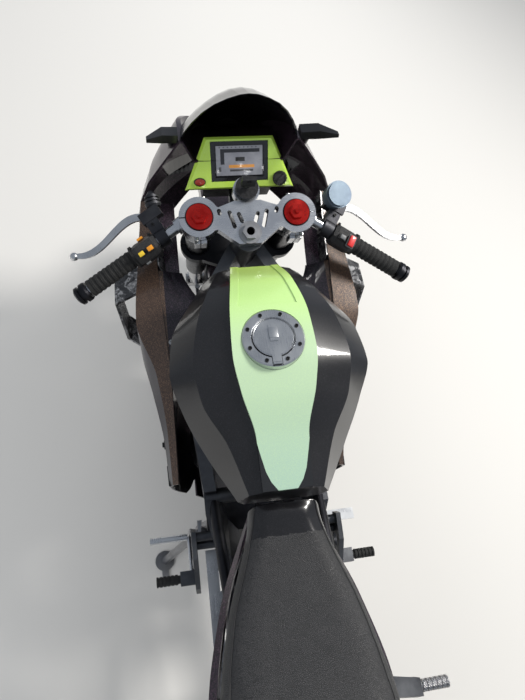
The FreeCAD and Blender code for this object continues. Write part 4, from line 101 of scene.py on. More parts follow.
# %% Floor and lamps
bpy.ops.object.select_all(action="DESELECT")
bpy.ops.mesh.primitive_plane_add(size=14, location=(0, 0, 0))
floor = bpy.context.object
floor.name = "floor"
floor_paint = bpy.data.materials.new("floor_pale")
floor_paint.use_nodes = True
floor_shader = floor_paint.node_tree.nodes["Principled BSDF"]
floor_shader.inputs["Base Color"].default_value = (0.62, 0.61, 0.59, 1)
floor_shader.inputs["Roughness"].default_value = 0.85
floor.data.materials.append(floor_paint)

world = bpy.data.worlds.new("studio")
bpy.context.scene.world = world
world.use_nodes = True
sky = world.node_tree
ambient = sky.nodes["Background"]
ambient.inputs["Color"].default_value = (0.93, 0.96, 1.0, 1)
ambient.inputs["Strength"].default_value = 0.55
mirrored = sky.nodes.new("ShaderNodeBackground")
mirrored.inputs["Color"].default_value = (0.80, 0.88, 1.0, 1)
mirrored.inputs["Strength"].default_value = 0.36
path = sky.nodes.new("ShaderNodeLightPath")
chosen = sky.nodes.new("ShaderNodeMixShader")
sky.links.new(path.outputs["Is Glossy Ray"], chosen.inputs["Fac"])
sky.links.new(ambient.outputs["Background"], chosen.inputs[1])
sky.links.new(mirrored.outputs["Background"], chosen.inputs[2])
sky.links.new(chosen.outputs["Shader"], sky.nodes["World Output"].inputs["Surface"])


def soft_lamp(name, spot, target, width, power, tint):
    data = bpy.data.lights.new(name, "AREA")
    data.shape = "DISK"
    data.size = width
    data.energy = power
    data.color = tint
    lamp = bpy.data.objects.new(name, data)
    bpy.context.scene.collection.objects.link(lamp)
    aim = Vector(target) - Vector(spot)
    lamp.matrix_world = Matrix.Translation(spot) @ aim.to_track_quat("-Z", "Y").to_matrix().to_4x4()
    return lamp


soft_lamp("key_lamp", (2.2, 0.6, 3.6), (0, 0.1, 0.6), 1.0, 150, (1.0, 0.97, 0.92))
fill = soft_lamp("fill_lamp", (-2.6, -1.4, 2.6), (0, 0, 0.5), 2.4, 46, (0.94, 0.97, 1.0))
front = soft_lamp("front_lamp", (0.6, 4.0, 2.2), (0, 0.3, 0.6), 1.8, 50, (1.0, 1.0, 1.0))
fill.visible_glossy = False
front.visible_glossy = False
bpy.context.scene.view_settings.view_transform = "Standard"

# %% [markdown]
# Finishes. Every finish is a node tree on Object coordinates, so a pattern stays on its piece
# when the piece moves. Small helpers keep the trees short: one makes the material, one makes
# a noise, one makes a colour ramp and one turns a height into a bump.

# %% Helpers for finishes
def finish(name, colour=(0.5, 0.5, 0.5), rough=0.5, metal=0.0, coat=0.0, coat_rough=0.03):
    paint = bpy.data.materials.new(name)
    paint.use_nodes = True
    shader = paint.node_tree.nodes["Principled BSDF"]
    shader.inputs["Base Color"].default_value = (*colour, 1)
    shader.inputs["Roughness"].default_value = rough
    shader.inputs["Metallic"].default_value = metal
    shader.inputs["Coat Weight"].default_value = coat
    shader.inputs["Coat Roughness"].default_value = coat_rough
    return paint


def coordinates(paint, move=(0, 0, 0), turn=(0, 0, 0), stretch=(1, 1, 1)):
    """Object coordinates, centred and turned for one piece."""
    tree = paint.node_tree
    source = tree.nodes.new("ShaderNodeTexCoord")
    mapping = tree.nodes.new("ShaderNodeMapping")
    mapping.vector_type = "TEXTURE"
    mapping.inputs["Location"].default_value = move
    mapping.inputs["Rotation"].default_value = turn
    mapping.inputs["Scale"].default_value = stretch
    tree.links.new(source.outputs["Object"], mapping.inputs["Vector"])
    return mapping.outputs["Vector"]


def noise(paint, where, scale, detail=3.0, rough=0.5, distort=0.0):
    node = paint.node_tree.nodes.new("ShaderNodeTexNoise")
    node.inputs["Scale"].default_value = scale
    node.inputs["Detail"].default_value = detail
    node.inputs["Roughness"].default_value = rough
    node.inputs["Distortion"].default_value = distort
    paint.node_tree.links.new(where, node.inputs["Vector"])
    return node.outputs["Fac"]


def cells(paint, where, scale, feature="F1", output="Distance", randomness=1.0):
    node = paint.node_tree.nodes.new("ShaderNodeTexVoronoi")
    node.feature = feature
    node.inputs["Scale"].default_value = scale
    node.inputs["Randomness"].default_value = randomness
    paint.node_tree.links.new(where, node.inputs["Vector"])
    return node.outputs[output]


def ramp(paint, source, stops, smooth="LINEAR"):
    node = paint.node_tree.nodes.new("ShaderNodeValToRGB")
    node.color_ramp.interpolation = smooth
    points = node.color_ramp.elements
    while len(points) < len(stops):
        points.new(0.5)
    for point, (spot, colour) in zip(points, stops):
        point.position = spot
        point.color = (*colour, 1) if len(colour) == 3 else colour
    paint.node_tree.links.new(source, node.inputs["Fac"])
    return node.outputs["Color"]


def shade(paint, socket, source):
    paint.node_tree.links.new(source, paint.node_tree.nodes["Principled BSDF"].inputs[socket])


def math_node(paint, kind, first, second=None, clamp=False):
    node = paint.node_tree.nodes.new("ShaderNodeMath")
    node.operation = kind
    node.use_clamp = clamp
    for i, value in enumerate((first, second)):
        if value is None:
            continue
        if isinstance(value, (int, float)):
            node.inputs[i].default_value = value
        else:
            paint.node_tree.links.new(value, node.inputs[i])
    return node.outputs[0]


def blend(paint, share, first, second, kind="MIX"):
    node = paint.node_tree.nodes.new("ShaderNodeMix")
    node.data_type = "RGBA"
    node.blend_type = kind
    for name, value in (("Factor", share), ("A", first), ("B", second)):
        sockets = [s for s in node.inputs if s.name == name and s.enabled]
        socket = sockets[0]
        if isinstance(value, (int, float)):
            socket.default_value = value
        elif isinstance(value, tuple):
            socket.default_value = (*value, 1)
        else:
            paint.node_tree.links.new(value, socket)
    return [s for s in node.outputs if s.enabled][0]


def bump(paint, height, strength=0.3, depth=0.0005, under=None):
    node = paint.node_tree.nodes.new("ShaderNodeBump")
    node.inputs["Strength"].default_value = strength
    node.inputs["Distance"].default_value = depth
    paint.node_tree.links.new(height, node.inputs["Height"])
    if under is not None:
        paint.node_tree.links.new(under, node.inputs["Normal"])
    paint.node_tree.links.new(node.outputs["Normal"],
                              paint.node_tree.nodes["Principled BSDF"].inputs["Normal"])
    return node.outputs["Normal"]


# %% [markdown]
# Three frames place the patterns: the upright bike, the steering head, and each wheel's axle.
# A Mapping node of the Texture kind undoes a place and a turn, so it takes them as they are.

# %% Frames for patterns
UPRIGHT = {"move": tuple(bike.to_translation()), "turn": (0, -lean, 0)}
STEERING = {"move": tuple(head), "turn": (RAKE, -lean, 0)}
REAR_WHEEL = {"move": tuple(axle), "turn": (0, -lean, 0)}
FRONT_WHEEL = {"move": tuple(joints["front_wheel"]["pos_m"]), "turn": (0, -lean, 0)}


def parts_of(paint, vector):
    node = paint.node_tree.nodes.new("ShaderNodeSeparateXYZ")
    paint.node_tree.links.new(vector, node.inputs[0])
    return node.outputs


# %% [markdown]
# Metals. Real machined alloy shows faint tool lines and worn, softer patches, so roughness
# follows a stretched noise and a cloud noise. Cast alloy has a sandy skin instead of lines.
# Colour varies a little with the same clouds, because handled metal is never one even tone.

# %% Metals
def worked_metal(name, light, dark, rough, place, lines=(900, 60, 60), line_depth=0.00004, grain=0):
    paint = finish(name, light, rough[0], 1.0)
    spot = coordinates(paint, **place)
    clouds = noise(paint, spot, 24, 4)
    stretched = coordinates(paint, place["move"], place["turn"], tuple(1 / a for a in lines))
    fine = noise(paint, stretched, 1, 2)
    shade(paint, "Base Color", ramp(paint, clouds, [(0.35, dark), (0.7, light)]))
    shares = math_node(paint, "ADD", math_node(paint, "MULTIPLY", clouds, 0.6),
                       math_node(paint, "MULTIPLY", fine, 0.4))
    low, high = rough
    shade(paint, "Roughness", ramp(paint, shares, [(0.3, (low,) * 3), (0.7, (high,) * 3)]))
    normal = bump(paint, fine, 0.5, line_depth)
    if grain:
        sand = noise(paint, spot, grain, 3, 0.7)
        bump(paint, sand, 0.55, 0.0004, normal)
    return paint


bright = worked_metal("bright_alloy", (0.70, 0.71, 0.72), (0.58, 0.59, 0.61), (0.22, 0.38), UPRIGHT)
clamp_metal = worked_metal("machined_clamp", (0.74, 0.75, 0.77), (0.64, 0.65, 0.68), (0.2, 0.34),
                           STEERING, (60, 1400, 60))
frame_metal = worked_metal("frame_alloy", (0.15, 0.155, 0.165), (0.09, 0.092, 0.10), (0.34, 0.5),
                           UPRIGHT, (80, 400, 400), grain=700)
rim_metal = worked_metal("rim_dark", (0.045, 0.045, 0.05), (0.022, 0.022, 0.026), (0.26, 0.42),
                         UPRIGHT, (200, 200, 200), grain=500)
cast = worked_metal("dark_alloy", (0.085, 0.087, 0.095), (0.05, 0.05, 0.056), (0.42, 0.62), UPRIGHT,
                    (60, 60, 60), grain=650)
steel = worked_metal("steel", (0.50, 0.50, 0.51), (0.36, 0.355, 0.36), (0.28, 0.46), UPRIGHT,
                     (500, 90, 90))
red_metal = worked_metal("red_alloy", (0.80, 0.05, 0.04), (0.56, 0.02, 0.018), (0.2, 0.36), STEERING,
                         (90, 90, 1600))
pipe_metal = worked_metal("exhaust_steel", (0.42, 0.37, 0.33), (0.22, 0.19, 0.2), (0.26, 0.5),
                          UPRIGHT, (60, 240, 60))
black_metal = worked_metal("black_alloy", (0.05, 0.05, 0.055), (0.028, 0.028, 0.032), (0.34, 0.5),
                           UPRIGHT, (90, 400, 400), grain=700)
fork_tube_metal = worked_metal("fork_tube_dark", (0.06, 0.06, 0.066), (0.035, 0.035, 0.04),
                               (0.24, 0.36), STEERING, (200, 200, 700))
pale_metal = worked_metal("reservoir_pale", (0.20, 0.25, 0.30), (0.12, 0.15, 0.19), (0.45, 0.6),
                          STEERING, (200, 200, 200), grain=900)
stanchion = worked_metal("stanchion_chrome", (0.74, 0.74, 0.74), (0.66, 0.66, 0.67), (0.06, 0.12),
                         STEERING, (60, 60, 900))


def round_place(paint, place):
    """Turn about an axle (-0.5 to 0.5), distance from it and place along it."""
    x, y, z = parts_of(paint, coordinates(paint, **place))[:3]
    turn = math_node(paint, "DIVIDE", math_node(paint, "ARCTAN2", z, y), math.tau)
    far = math_node(paint, "SQRT", math_node(paint, "ADD", math_node(paint, "MULTIPLY", y, y),
                                             math_node(paint, "MULTIPLY", z, z)))
    return turn, far, x


def disc_metal(name, place):
    """Brake disc: the pad leaves fine rings, and a smeared noise gives a grey-brown tone."""
    paint = finish(name, (0.5, 0.5, 0.5), 0.3, 1.0)
    turn, far, along = round_place(paint, place)
    rings = math_node(paint, "FRACT", math_node(paint, "MULTIPLY", far, 620))
    smear = noise(paint, coordinates(paint, **place), 30, 3)
    tone = math_node(paint, "ADD", math_node(paint, "MULTIPLY", rings, 0.35),
                     math_node(paint, "MULTIPLY", smear, 0.65))
    shade(paint, "Base Color", ramp(paint, tone, [(0.25, (0.30, 0.28, 0.27)),
                                                  (0.75, (0.56, 0.555, 0.55))]))
    shade(paint, "Roughness", ramp(paint, tone, [(0.2, (0.2,) * 3), (0.8, (0.38,) * 3)]))
    bump(paint, rings, 0.4, 0.00006)
    return paint


front_disc_metal = disc_metal("front_disc_steel", FRONT_WHEEL)
rear_disc_metal = disc_metal("rear_disc_steel", REAR_WHEEL)

# %% [markdown]
# Tyres. The tread is cut in slashes that lean away from the middle line and stop short of the
# shoulder. The slash count and the band come from the turn about the axle and the place across.
# Side walls carry fine moulding rings, and road dust greys the tread. The slashes are painted
# near-black as painted shade in the grooves.

# %% Tyre rubber
def tyre(name, place, slashes, band):
    paint = finish(name, (0.02, 0.02, 0.021), 0.75)
    turn, far, along = round_place(paint, place)
    away = math_node(paint, "ABSOLUTE", along)
    side = math_node(paint, "GREATER_THAN", along, 0.0)
    start = math_node(paint, "ADD", math_node(paint, "MULTIPLY", turn, slashes),
                      math_node(paint, "MULTIPLY", side, 0.5))
    slash = math_node(paint, "FRACT", math_node(paint, "ADD", start, math_node(paint, "MULTIPLY",
                                                                               away, 26)))
    near = math_node(paint, "LESS_THAN", math_node(paint, "ABSOLUTE", math_node(paint, "SUBTRACT",
                                                                                slash, 0.5)), 0.055)
    inside = math_node(paint, "MULTIPLY", math_node(paint, "GREATER_THAN", away, band[0]),
                       math_node(paint, "LESS_THAN", away, band[1]))
    groove_and_painted_shade = math_node(paint, "MULTIPLY", near, inside)
    ring = math_node(paint, "FRACT", math_node(paint, "MULTIPLY", far, 260))
    wall = math_node(paint, "MULTIPLY", ring, math_node(paint, "GREATER_THAN", away, band[1]))
    dust = noise(paint, coordinates(paint, **place), 14, 5)
    worn = ramp(paint, dust, [(0.4, (0.017, 0.017, 0.018)), (0.75, (0.036, 0.035, 0.033))])
    # The slashes are painted near-black over the dust tone: painted shade in the grooves.
    shade(paint, "Base Color", blend(paint, groove_and_painted_shade, worn, (0.006, 0.006, 0.006)))
    shade(paint, "Roughness", ramp(paint, dust, [(0.3, (0.62,) * 3), (0.7, (0.85,) * 3)]))
    height = math_node(paint, "SUBTRACT", math_node(paint, "MULTIPLY", wall, 0.12), groove_and_painted_shade)
    normal = bump(paint, height, 0.9, 0.0016)
    bump(paint, noise(paint, coordinates(paint, **place), 900, 2), 0.2, 0.0002, normal)
    return paint


front_rubber = tyre("front_tyre_rubber", FRONT_WHEEL, 22, (0.008, 0.046))
rear_rubber = tyre("rear_tyre_rubber", REAR_WHEEL, 20, (0.010, 0.074))

# %% [markdown]
# Paint. The black panels carry a violet-brown flake under a thick clear coat: tiny cells, each
# with its own brightness, and only the brightest let show. A slow noise in the coat's normal
# gives the slight orange-peel that sprayed paint has. The tank panel's green fades from lime at
# the dash to a greyer mint at its tail, so its colour follows the length of the bike.

# %% Paints
def facing_up(paint, low, high):
    """Share from 0 to 1 for how far a face looks up, with the lean taken out."""
    source = paint.node_tree.nodes.new("ShaderNodeTexCoord")
    x, y, z = parts_of(paint, source.outputs["Normal"])[:3]
    tall = math_node(paint, "MULTIPLY", z, math.cos(lean))
    wide = math_node(paint, "MULTIPLY", x, -math.sin(lean))
    height = math_node(paint, "ADD", tall, wide)
    return ramp(paint, height, [(low, (0, 0, 0)), (high, (1, 1, 1))])


def flake_paint(name, deep, flakes, size_cells, cut, rough=0.32, band=None):
    paint = finish(name, deep, rough, 0.0, 0.5, 0.035)
    paint.node_tree.nodes["Principled BSDF"].inputs["Specular IOR Level"].default_value = 0.3
    spot = coordinates(paint, **UPRIGHT)
    sparkle = cells(paint, spot, size_cells, output="Color")
    chosen = ramp(paint, math_node(paint, "MULTIPLY", sparkle, 1.0),
                  [(cut, (0, 0, 0)), (min(cut + 0.22, 1.0), (1, 1, 1))])
    clouds = noise(paint, spot, 5, 2)
    ground = ramp(paint, clouds, [(0.35, deep), (0.7, tuple(c * 1.7 for c in deep))])
    # Upward faces of the outer panel get a lighter brown ground and bronze flake: a painted highlight
    # on the tops.
    if band:
        outer = math_node(paint, "GREATER_THAN", math_node(paint, "ABSOLUTE", parts_of(paint,
                                                                                       spot)[0]), 0.176)
        up = math_node(paint, "MULTIPLY", facing_up(paint, 0.42, 0.5), outer)
        ground, flakes = blend(paint, up, ground, band[0]), blend(paint, up, flakes, band[1])
    shade(paint, "Base Color", blend(paint, chosen, ground, flakes))
    shade(paint, "Metallic", math_node(paint, "MULTIPLY", chosen, 0.8))
    shade(paint, "Roughness", ramp(paint, chosen, [(0.0, (rough,) * 3), (1.0, (0.45,) * 3)]))
    peel = paint.node_tree.nodes.new("ShaderNodeBump")
    peel.inputs["Strength"].default_value = 0.12
    peel.inputs["Distance"].default_value = 0.0003
    paint.node_tree.links.new(noise(paint, spot, 260, 2), peel.inputs["Height"])
    paint.node_tree.links.new(peel.outputs["Normal"],
                              paint.node_tree.nodes["Principled BSDF"].inputs["Coat Normal"])
    return paint


black = flake_paint("black_flake_paint", (0.0055, 0.0045, 0.006), (0.17, 0.10, 0.15), 1500, 0.62)
plain_black = flake_paint("black_tank_paint", (0.006, 0.006, 0.0068), (0.06, 0.055, 0.065), 1900, 0.74)
# The fairing's band is a painted highlight: lighter brown and bronze on its upward outer faces.
fairing_paint = flake_paint("fairing_paint", (0.0045, 0.0045, 0.0065), (0.10, 0.07, 0.10), 1500, 0.66,
                            band=((0.040, 0.026, 0.020), (0.30, 0.19, 0.13)))


def taper(paint, y, half_widths):
    """Half width of the painted panel along the bike, read off a ramp of (y, half) pairs."""
    low, high = half_widths[0][0], half_widths[-1][0]
    share = math_node(paint, "DIVIDE", math_node(paint, "SUBTRACT", y, low), high - low, clamp=True)
    widest = max(half for _, half in half_widths)
    stops = [((a - low) / (high - low), (half / widest,) * 3) for a, half in half_widths]
    return math_node(paint, "MULTIPLY", ramp(paint, share, stops), widest)


def green(name, stops, outline=None):
    paint = finish(name, stops[0][1], 0.36, 0.0, 1.0, 0.04)
    spot = coordinates(paint, **UPRIGHT)
    x, y, z = parts_of(paint, spot)[:3]
    first, last = stops[0][0], stops[-1][0]
    share = math_node(paint, "DIVIDE", math_node(paint, "SUBTRACT", y, first), last - first, clamp=True)
    fade = ramp(paint, share, [((a - first) / (last - first), c) for a, c in stops], "EASE")
    flake = cells(paint, spot, 1700, output="Color")
    glint = ramp(paint, flake, [(0.55, (0, 0, 0)), (0.9, (0.35, 0.35, 0.35))])
    tone = blend(paint, glint, fade, (0.66, 0.86, 0.42))
    if outline:
        beyond = math_node(paint, "SUBTRACT", math_node(paint, "ABSOLUTE", x), taper(paint, y, outline))
        tone = blend(paint, math_node(paint, "GREATER_THAN", beyond, 0.0), tone, (0.006, 0.006, 0.0068))
    shade(paint, "Base Color", tone)
    shade(paint, "Metallic", math_node(paint, "MULTIPLY", glint, 0.5))
    peel = paint.node_tree.nodes.new("ShaderNodeBump")
    peel.inputs["Strength"].default_value = 0.12
    peel.inputs["Distance"].default_value = 0.0003
    paint.node_tree.links.new(noise(paint, spot, 260, 2), peel.inputs["Height"])
    paint.node_tree.links.new(peel.outputs["Normal"],
                              paint.node_tree.nodes["Principled BSDF"].inputs["Coat Normal"])
    return paint


MINT, SAGE, LIME = (0.34, 0.49, 0.39), (0.43, 0.58, 0.38), (0.52, 0.74, 0.15)
panel_green = green("panel_green", [(0.60, MINT), (0.80, SAGE), (0.93, (0.46, 0.70, 0.24)),
                                    (1.04, LIME)],
                    [(0.607, 0.004), (0.612, 0.016), (0.625, 0.026), (0.641, 0.033), (0.67, 0.040),
                     (0.70, 0.046),
                     (0.72, 0.07), (1.05, 0.07)])
dash_green = green("dash_green", [(1.10, (0.46, 0.68, 0.08)), (1.24, (0.46, 0.68, 0.07)),
                                  (1.34, (0.38, 0.60, 0.06))])

# %% [markdown]
# Forged carbon is chopped tow pressed at random: flat flakes at many angles, each reflecting
# by its own amount, in marbled patches. Two sets of warped cells at two sizes are mixed, each
# cell with one grey, and a marbling noise is added, all under clear resin.

# %% Forged carbon
def forged(name):
    paint = finish(name, (0.1, 0.1, 0.1), 0.35, 0.2, 0.7, 0.12)
    spot = coordinates(paint, **UPRIGHT)
    warp = paint.node_tree.nodes.new("ShaderNodeTexNoise")
    warp.inputs["Scale"].default_value = 26
    warp.inputs["Detail"].default_value = 4
    paint.node_tree.links.new(spot, warp.inputs["Vector"])
    pushed = blend(paint, 0.055, spot, warp.outputs["Color"])
    large = cells(paint, pushed, 62, output="Color")
    small = cells(paint, pushed, 170, output="Color")
    grey = math_node(paint, "ADD", math_node(paint, "MULTIPLY", large, 0.55),
                     math_node(paint, "MULTIPLY", small, 0.45))
    marble = noise(paint, pushed, 30, 6, 0.65, 1.4)
    both = math_node(paint, "ADD", math_node(paint, "MULTIPLY", grey, 0.6),
                     math_node(paint, "MULTIPLY", marble, 0.5))
    tone = ramp(paint, both, [(0.34, (0.006, 0.006, 0.007)), (0.52, (0.035, 0.035, 0.037)),
                              (0.62, (0.16, 0.16, 0.165)), (0.74, (0.42, 0.42, 0.43))])
    shade(paint, "Base Color", tone)
    shade(paint, "Roughness", ramp(paint, grey, [(0.2, (0.25,) * 3), (0.8, (0.5,) * 3)]))
    bump(paint, both, 0.25, 0.0003)
    return paint


carbon = forged("forged_carbon")

# %% [markdown]
# Vinyl, rubber, plastics and lenses. Seat vinyl has a pebbled grain with fine creases between
# the pebbles, so cells give both the bump and a darker line of painted shade. Moulded plastic has
# a much finer spark grain. The grip's rubber takes the same cell grain, at its own size.

# %% Vinyl, rubber and plastics
def grained(name, tone, light, rough, size_cells, depth, second=40):
    paint = finish(name, tone, rough[0])
    spot = coordinates(paint, **UPRIGHT)
    edge = cells(paint, spot, size_cells, feature="DISTANCE_TO_EDGE")
    pebble_and_crease_shade = ramp(paint, edge, [(0.0, (0, 0, 0)), (0.22, (1, 1, 1))], "EASE")
    wear = noise(paint, spot, second, 4)
    ground = ramp(paint, wear, [(0.3, tone), (0.75, light)])
    # The cell edges are painted darker: painted shade in the creases between the pebbles.
    shade(paint, "Base Color", blend(paint, pebble_and_crease_shade, tuple(c * 0.45 for c in tone), ground))
    shade(paint, "Roughness", ramp(paint, wear, [(0.3, (rough[0],) * 3), (0.7, (rough[1],) * 3)]))
    normal = bump(paint, pebble_and_crease_shade, 0.75, depth)
    bump(paint, noise(paint, spot, second * 30, 2), 0.2, depth * 0.4, normal)
    return paint


vinyl = grained("seat_vinyl", (0.028, 0.028, 0.030), (0.046, 0.046, 0.049), (0.5, 0.66), 420, 0.0005)
side_vinyl = grained("seat_side_vinyl", (0.018, 0.018, 0.019), (0.026, 0.026, 0.027), (0.42, 0.55),
                     900, 0.0002)
plastic = grained("black_plastic", (0.017, 0.017, 0.018), (0.03, 0.03, 0.031), (0.45, 0.62), 1300,
                  0.00018)
gloss_plastic = finish("gloss_black_plastic", (0.010, 0.010, 0.011), 0.22, 0, 0.8, 0.06)
shade(gloss_plastic, "Roughness", ramp(gloss_plastic, noise(gloss_plastic,
                                                            coordinates(gloss_plastic, **UPRIGHT), 60,
                                                            4),
                                       [(0.3, (0.18,) * 3), (0.7, (0.34,) * 3)]))
rubber = grained("soft_rubber", (0.014, 0.014, 0.014), (0.024, 0.024, 0.024), (0.68, 0.85), 700, 0.0004)


def lock_finish():
    """Ignition lock: a dark barrel and ring, the key's silver blade and its black head."""
    paint = finish("lock_and_key", (0.03, 0.03, 0.032), 0.4)
    paint.node_tree.nodes["Principled BSDF"].inputs["Specular IOR Level"].default_value = 0.2
    spot = coordinates(paint, **STEERING)
    x, y, z = parts_of(paint, spot)[:3]
    above = math_node(paint, "GREATER_THAN", z, 0.6792)
    below = math_node(paint, "LESS_THAN", z, 0.6895)
    blade = math_node(paint, "MULTIPLY", above, below)
    dark = ramp(paint, noise(paint, spot, 300, 3), [(0.3, (0.012, 0.012, 0.013)), (0.7, (0.03, 0.03,
                                                                                         0.032))])
    shade(paint, "Base Color", blend(paint, blade, dark, (0.6, 0.6, 0.6)))
    shade(paint, "Metallic", blade)
    bump(paint, noise(paint, spot, 1200, 2), 0.2, 0.0001)
    return paint


def pegs_finish():
    """Rider pegs are black rubber; passenger pegs, behind the rider's, are bare knurled alloy."""
    paint = finish("peg_knurl", (0.02, 0.02, 0.02), 0.6)
    x, y, z = parts_of(paint, coordinates(paint, **UPRIGHT))[:3]
    behind = math_node(paint, "LESS_THAN", y, 0.34)
    crossing = math_node(paint, "ADD", math_node(paint, "MULTIPLY", x, 210),
                         math_node(paint, "MULTIPLY", y, 210))
    other = math_node(paint, "SUBTRACT", math_node(paint, "MULTIPLY", x, 210),
                      math_node(paint, "MULTIPLY", y, 210))
    first = math_node(paint, "ABSOLUTE", math_node(paint, "SUBTRACT", math_node(paint, "FRACT",
                                                                                crossing), 0.5))
    second = math_node(paint, "ABSOLUTE", math_node(paint, "SUBTRACT", math_node(paint, "FRACT",
                                                                                 other), 0.5))
    knurl = math_node(paint, "MULTIPLY", math_node(paint, "MULTIPLY", first, second), 4)
    # Both tones run darker into the knurl's grooves: painted shade in the grooves.
    black_rubber_and_groove_shade = ramp(paint, knurl, [(0.1, (0.008, 0.008, 0.008)), (0.6, (0.026, 0.026, 0.026))])
    bare_alloy_and_groove_shade = ramp(paint, knurl, [(0.08, (0.22, 0.22, 0.23)), (0.6, (0.68, 0.68, 0.69))])
    shade(paint, "Base Color", blend(paint, behind, black_rubber_and_groove_shade, bare_alloy_and_groove_shade))
    shade(paint, "Metallic", math_node(paint, "MULTIPLY", behind, 1.0))
    shade(paint, "Roughness", ramp(paint, behind, [(0.0, (0.7,) * 3), (1.0, (0.32,) * 3)]))
    bump(paint, knurl, 0.8, 0.0009)
    return paint


def radiator_finish():
    """Core of thin tubes with folded fins between; the pattern covers the whole radiator, not only the
    core in the middle of its face.
    """
    paint = finish("radiator_core", (0.05, 0.05, 0.05), 0.5, 0.8)
    x, y, z = parts_of(paint, coordinates(paint, **UPRIGHT))[:3]
    tubes = math_node(paint, "FRACT", math_node(paint, "MULTIPLY", z, 110))
    fins = math_node(paint, "FRACT", math_node(paint, "MULTIPLY", x, 620))
    tube = math_node(paint, "LESS_THAN", tubes, 0.22)
    height = math_node(paint, "MAXIMUM", tube, math_node(paint, "MULTIPLY", fins, 0.7))
    # Low parts between tubes and fins are painted near-black: painted shade in the core's gaps.
    shade(paint, "Base Color", ramp(paint, height, [(0.0, (0.012,) * 3), (0.9, (0.10, 0.10, 0.105))]))
    shade(paint, "Roughness", ramp(paint, height, [(0.0, (0.7,) * 3), (1.0, (0.4,) * 3)]))
    bump(paint, height, 0.8, 0.0012)
    return paint


def lamp_finish(name, tone, deep, rows, bowl, rough=0.08):
    """Lens over a bright bowl: upright flutes in the clear shell are bumped, and their soft stripes are
    painted light and shade.
    """
    paint = finish(name, tone, rough, 0.25, 1.0, 0.02)
    x, y, z = parts_of(paint, coordinates(paint, **UPRIGHT))[:3]
    flute = math_node(paint, "PINGPONG", math_node(paint, "MULTIPLY", x, rows), 0.5)
    # Stripes across the flutes are painted: light and dark bands of painted highlight and shade.
    flute_light_and_shade = ramp(paint, flute, [(0.0, deep), (0.5, tone)], "EASE")
    source = paint.node_tree.nodes.new("ShaderNodeTexCoord")
    facing = parts_of(paint, source.outputs["Normal"])[1]
    behind = math_node(paint, "LESS_THAN" if bowl > 0 else "GREATER_THAN", facing, 0.12 * bowl)
    shade(paint, "Base Color", blend(paint, behind, flute_light_and_shade, (0.008, 0.008, 0.009)))
    bump(paint, flute, 0.4, 0.0012)
    return paint


lock_metal, peg_finish, core_finish = lock_finish(), pegs_finish(), radiator_finish()
clear_lens = lamp_finish("headlamp_lens", (0.62, 0.66, 0.70), (0.10, 0.11, 0.13), 90, 1)
red_lens = lamp_finish("tail_lens", (0.55, 0.012, 0.016), (0.16, 0.002, 0.004), 140, -1)
screen_paint = finish("smoked_screen", (0.008, 0.008, 0.009), 0.12, 0, 0.12, 0.03)
screen_paint.node_tree.nodes["Principled BSDF"].inputs["Specular IOR Level"].default_value = 0.12
screen_spot = coordinates(screen_paint, **UPRIGHT)
shade(screen_paint, "Roughness", ramp(screen_paint, noise(screen_paint, screen_spot, 18, 5),
                                      [(0.35, (0.05,) * 3), (0.75, (0.16,) * 3)]))
# Base colour lighter towards the screen's top edge: a painted sheen.
shade(screen_paint, "Base Color", ramp(screen_paint, parts_of(screen_paint, screen_spot)[2],
                                       [(0.88, (0.003, 0.003, 0.0035)), (1.0, (0.016, 0.016, 0.019))]))

# %% [markdown]
# Each CAD node takes one finish. The table names the finish once and the nodes that wear it.

# %% Dress the CAD nodes
wardrobe = [
    (front_rubber, ["front_tyre"]),
    (rear_rubber, ["rear_tyre"]),
    (rim_metal, ["front_rim", "rear_rim"]),
    (front_disc_metal, ["front_discs"]),
    (rear_disc_metal, ["rear_disc"]),
    (bright, ["swingarm", "levers", "fuel_cap_ring", "fuel_lid", "foot_levers"]),
    (clamp_metal, ["top_clamp", "clip_ons"]),
    (frame_metal, ["frame", "footrest_brackets"]),
    (black_metal, ["subframes", "bar_ends", "low_clamp"]),
    (cast, ["engine", "engine_covers", "front_calipers", "rear_caliper", "lever_perches"]),
    (steel, ["rear_sprocket", "drive_chain", "front_axle", "rear_axle", "stem_nut",
             "side_stand", "stand_bracket", "rear_shock"]),
    (lock_metal, ["ignition_lock"]),
    (pipe_metal, ["exhaust"]),
    (fork_tube_metal, ["fork_outer_tubes"]),
    (stanchion, ["fork_inner_tubes"]),
    (red_metal, ["fork_caps"]),
    (pale_metal, ["brake_reservoir"]),
    (fairing_paint, ["side_fairings"]),
    (black, ["belly_pan", "nose_cowl", "tail_cowl", "front_mudguard"]),
    (plain_black, ["fuel_tank", "mirrors"]),
    (panel_green, ["tank_panel"]),
    (dash_green, ["dash_surround"]),
    (carbon, ["cockpit_panels", "winglets"]),
    (vinyl, ["rider_seat", "pillion_seat"]),
    (rubber, ["grips"]),
    (peg_finish, ["footrests"]),
    (plastic, ["switchgear", "dash_controls", "rear_mudguard"]),
    (gloss_plastic, ["dash_display"]),
    (core_finish, ["radiator"]),
    (clear_lens, ["headlamps"]),
    (red_lens, ["tail_lamp"]),
    (screen_paint, ["windscreen"]),
]
dressed = set()
for paint, names in wardrobe:
    for name in names:
        mesh = frame["nodes"][name].data
        mesh.materials.clear()
        mesh.materials.append(paint)
        dressed.add(name)
print("nodes without a finish", sorted(set(frame["nodes"]) - dressed))

# %% [markdown]
# Helpers for added pieces. A piece is drawn with bpy.ops at its real size and place on the
# upright bike or in the steering frame, and then leaned with that frame. Its object ends at the
# origin with its place in the mesh, so it can ride on a body of the CAD model.

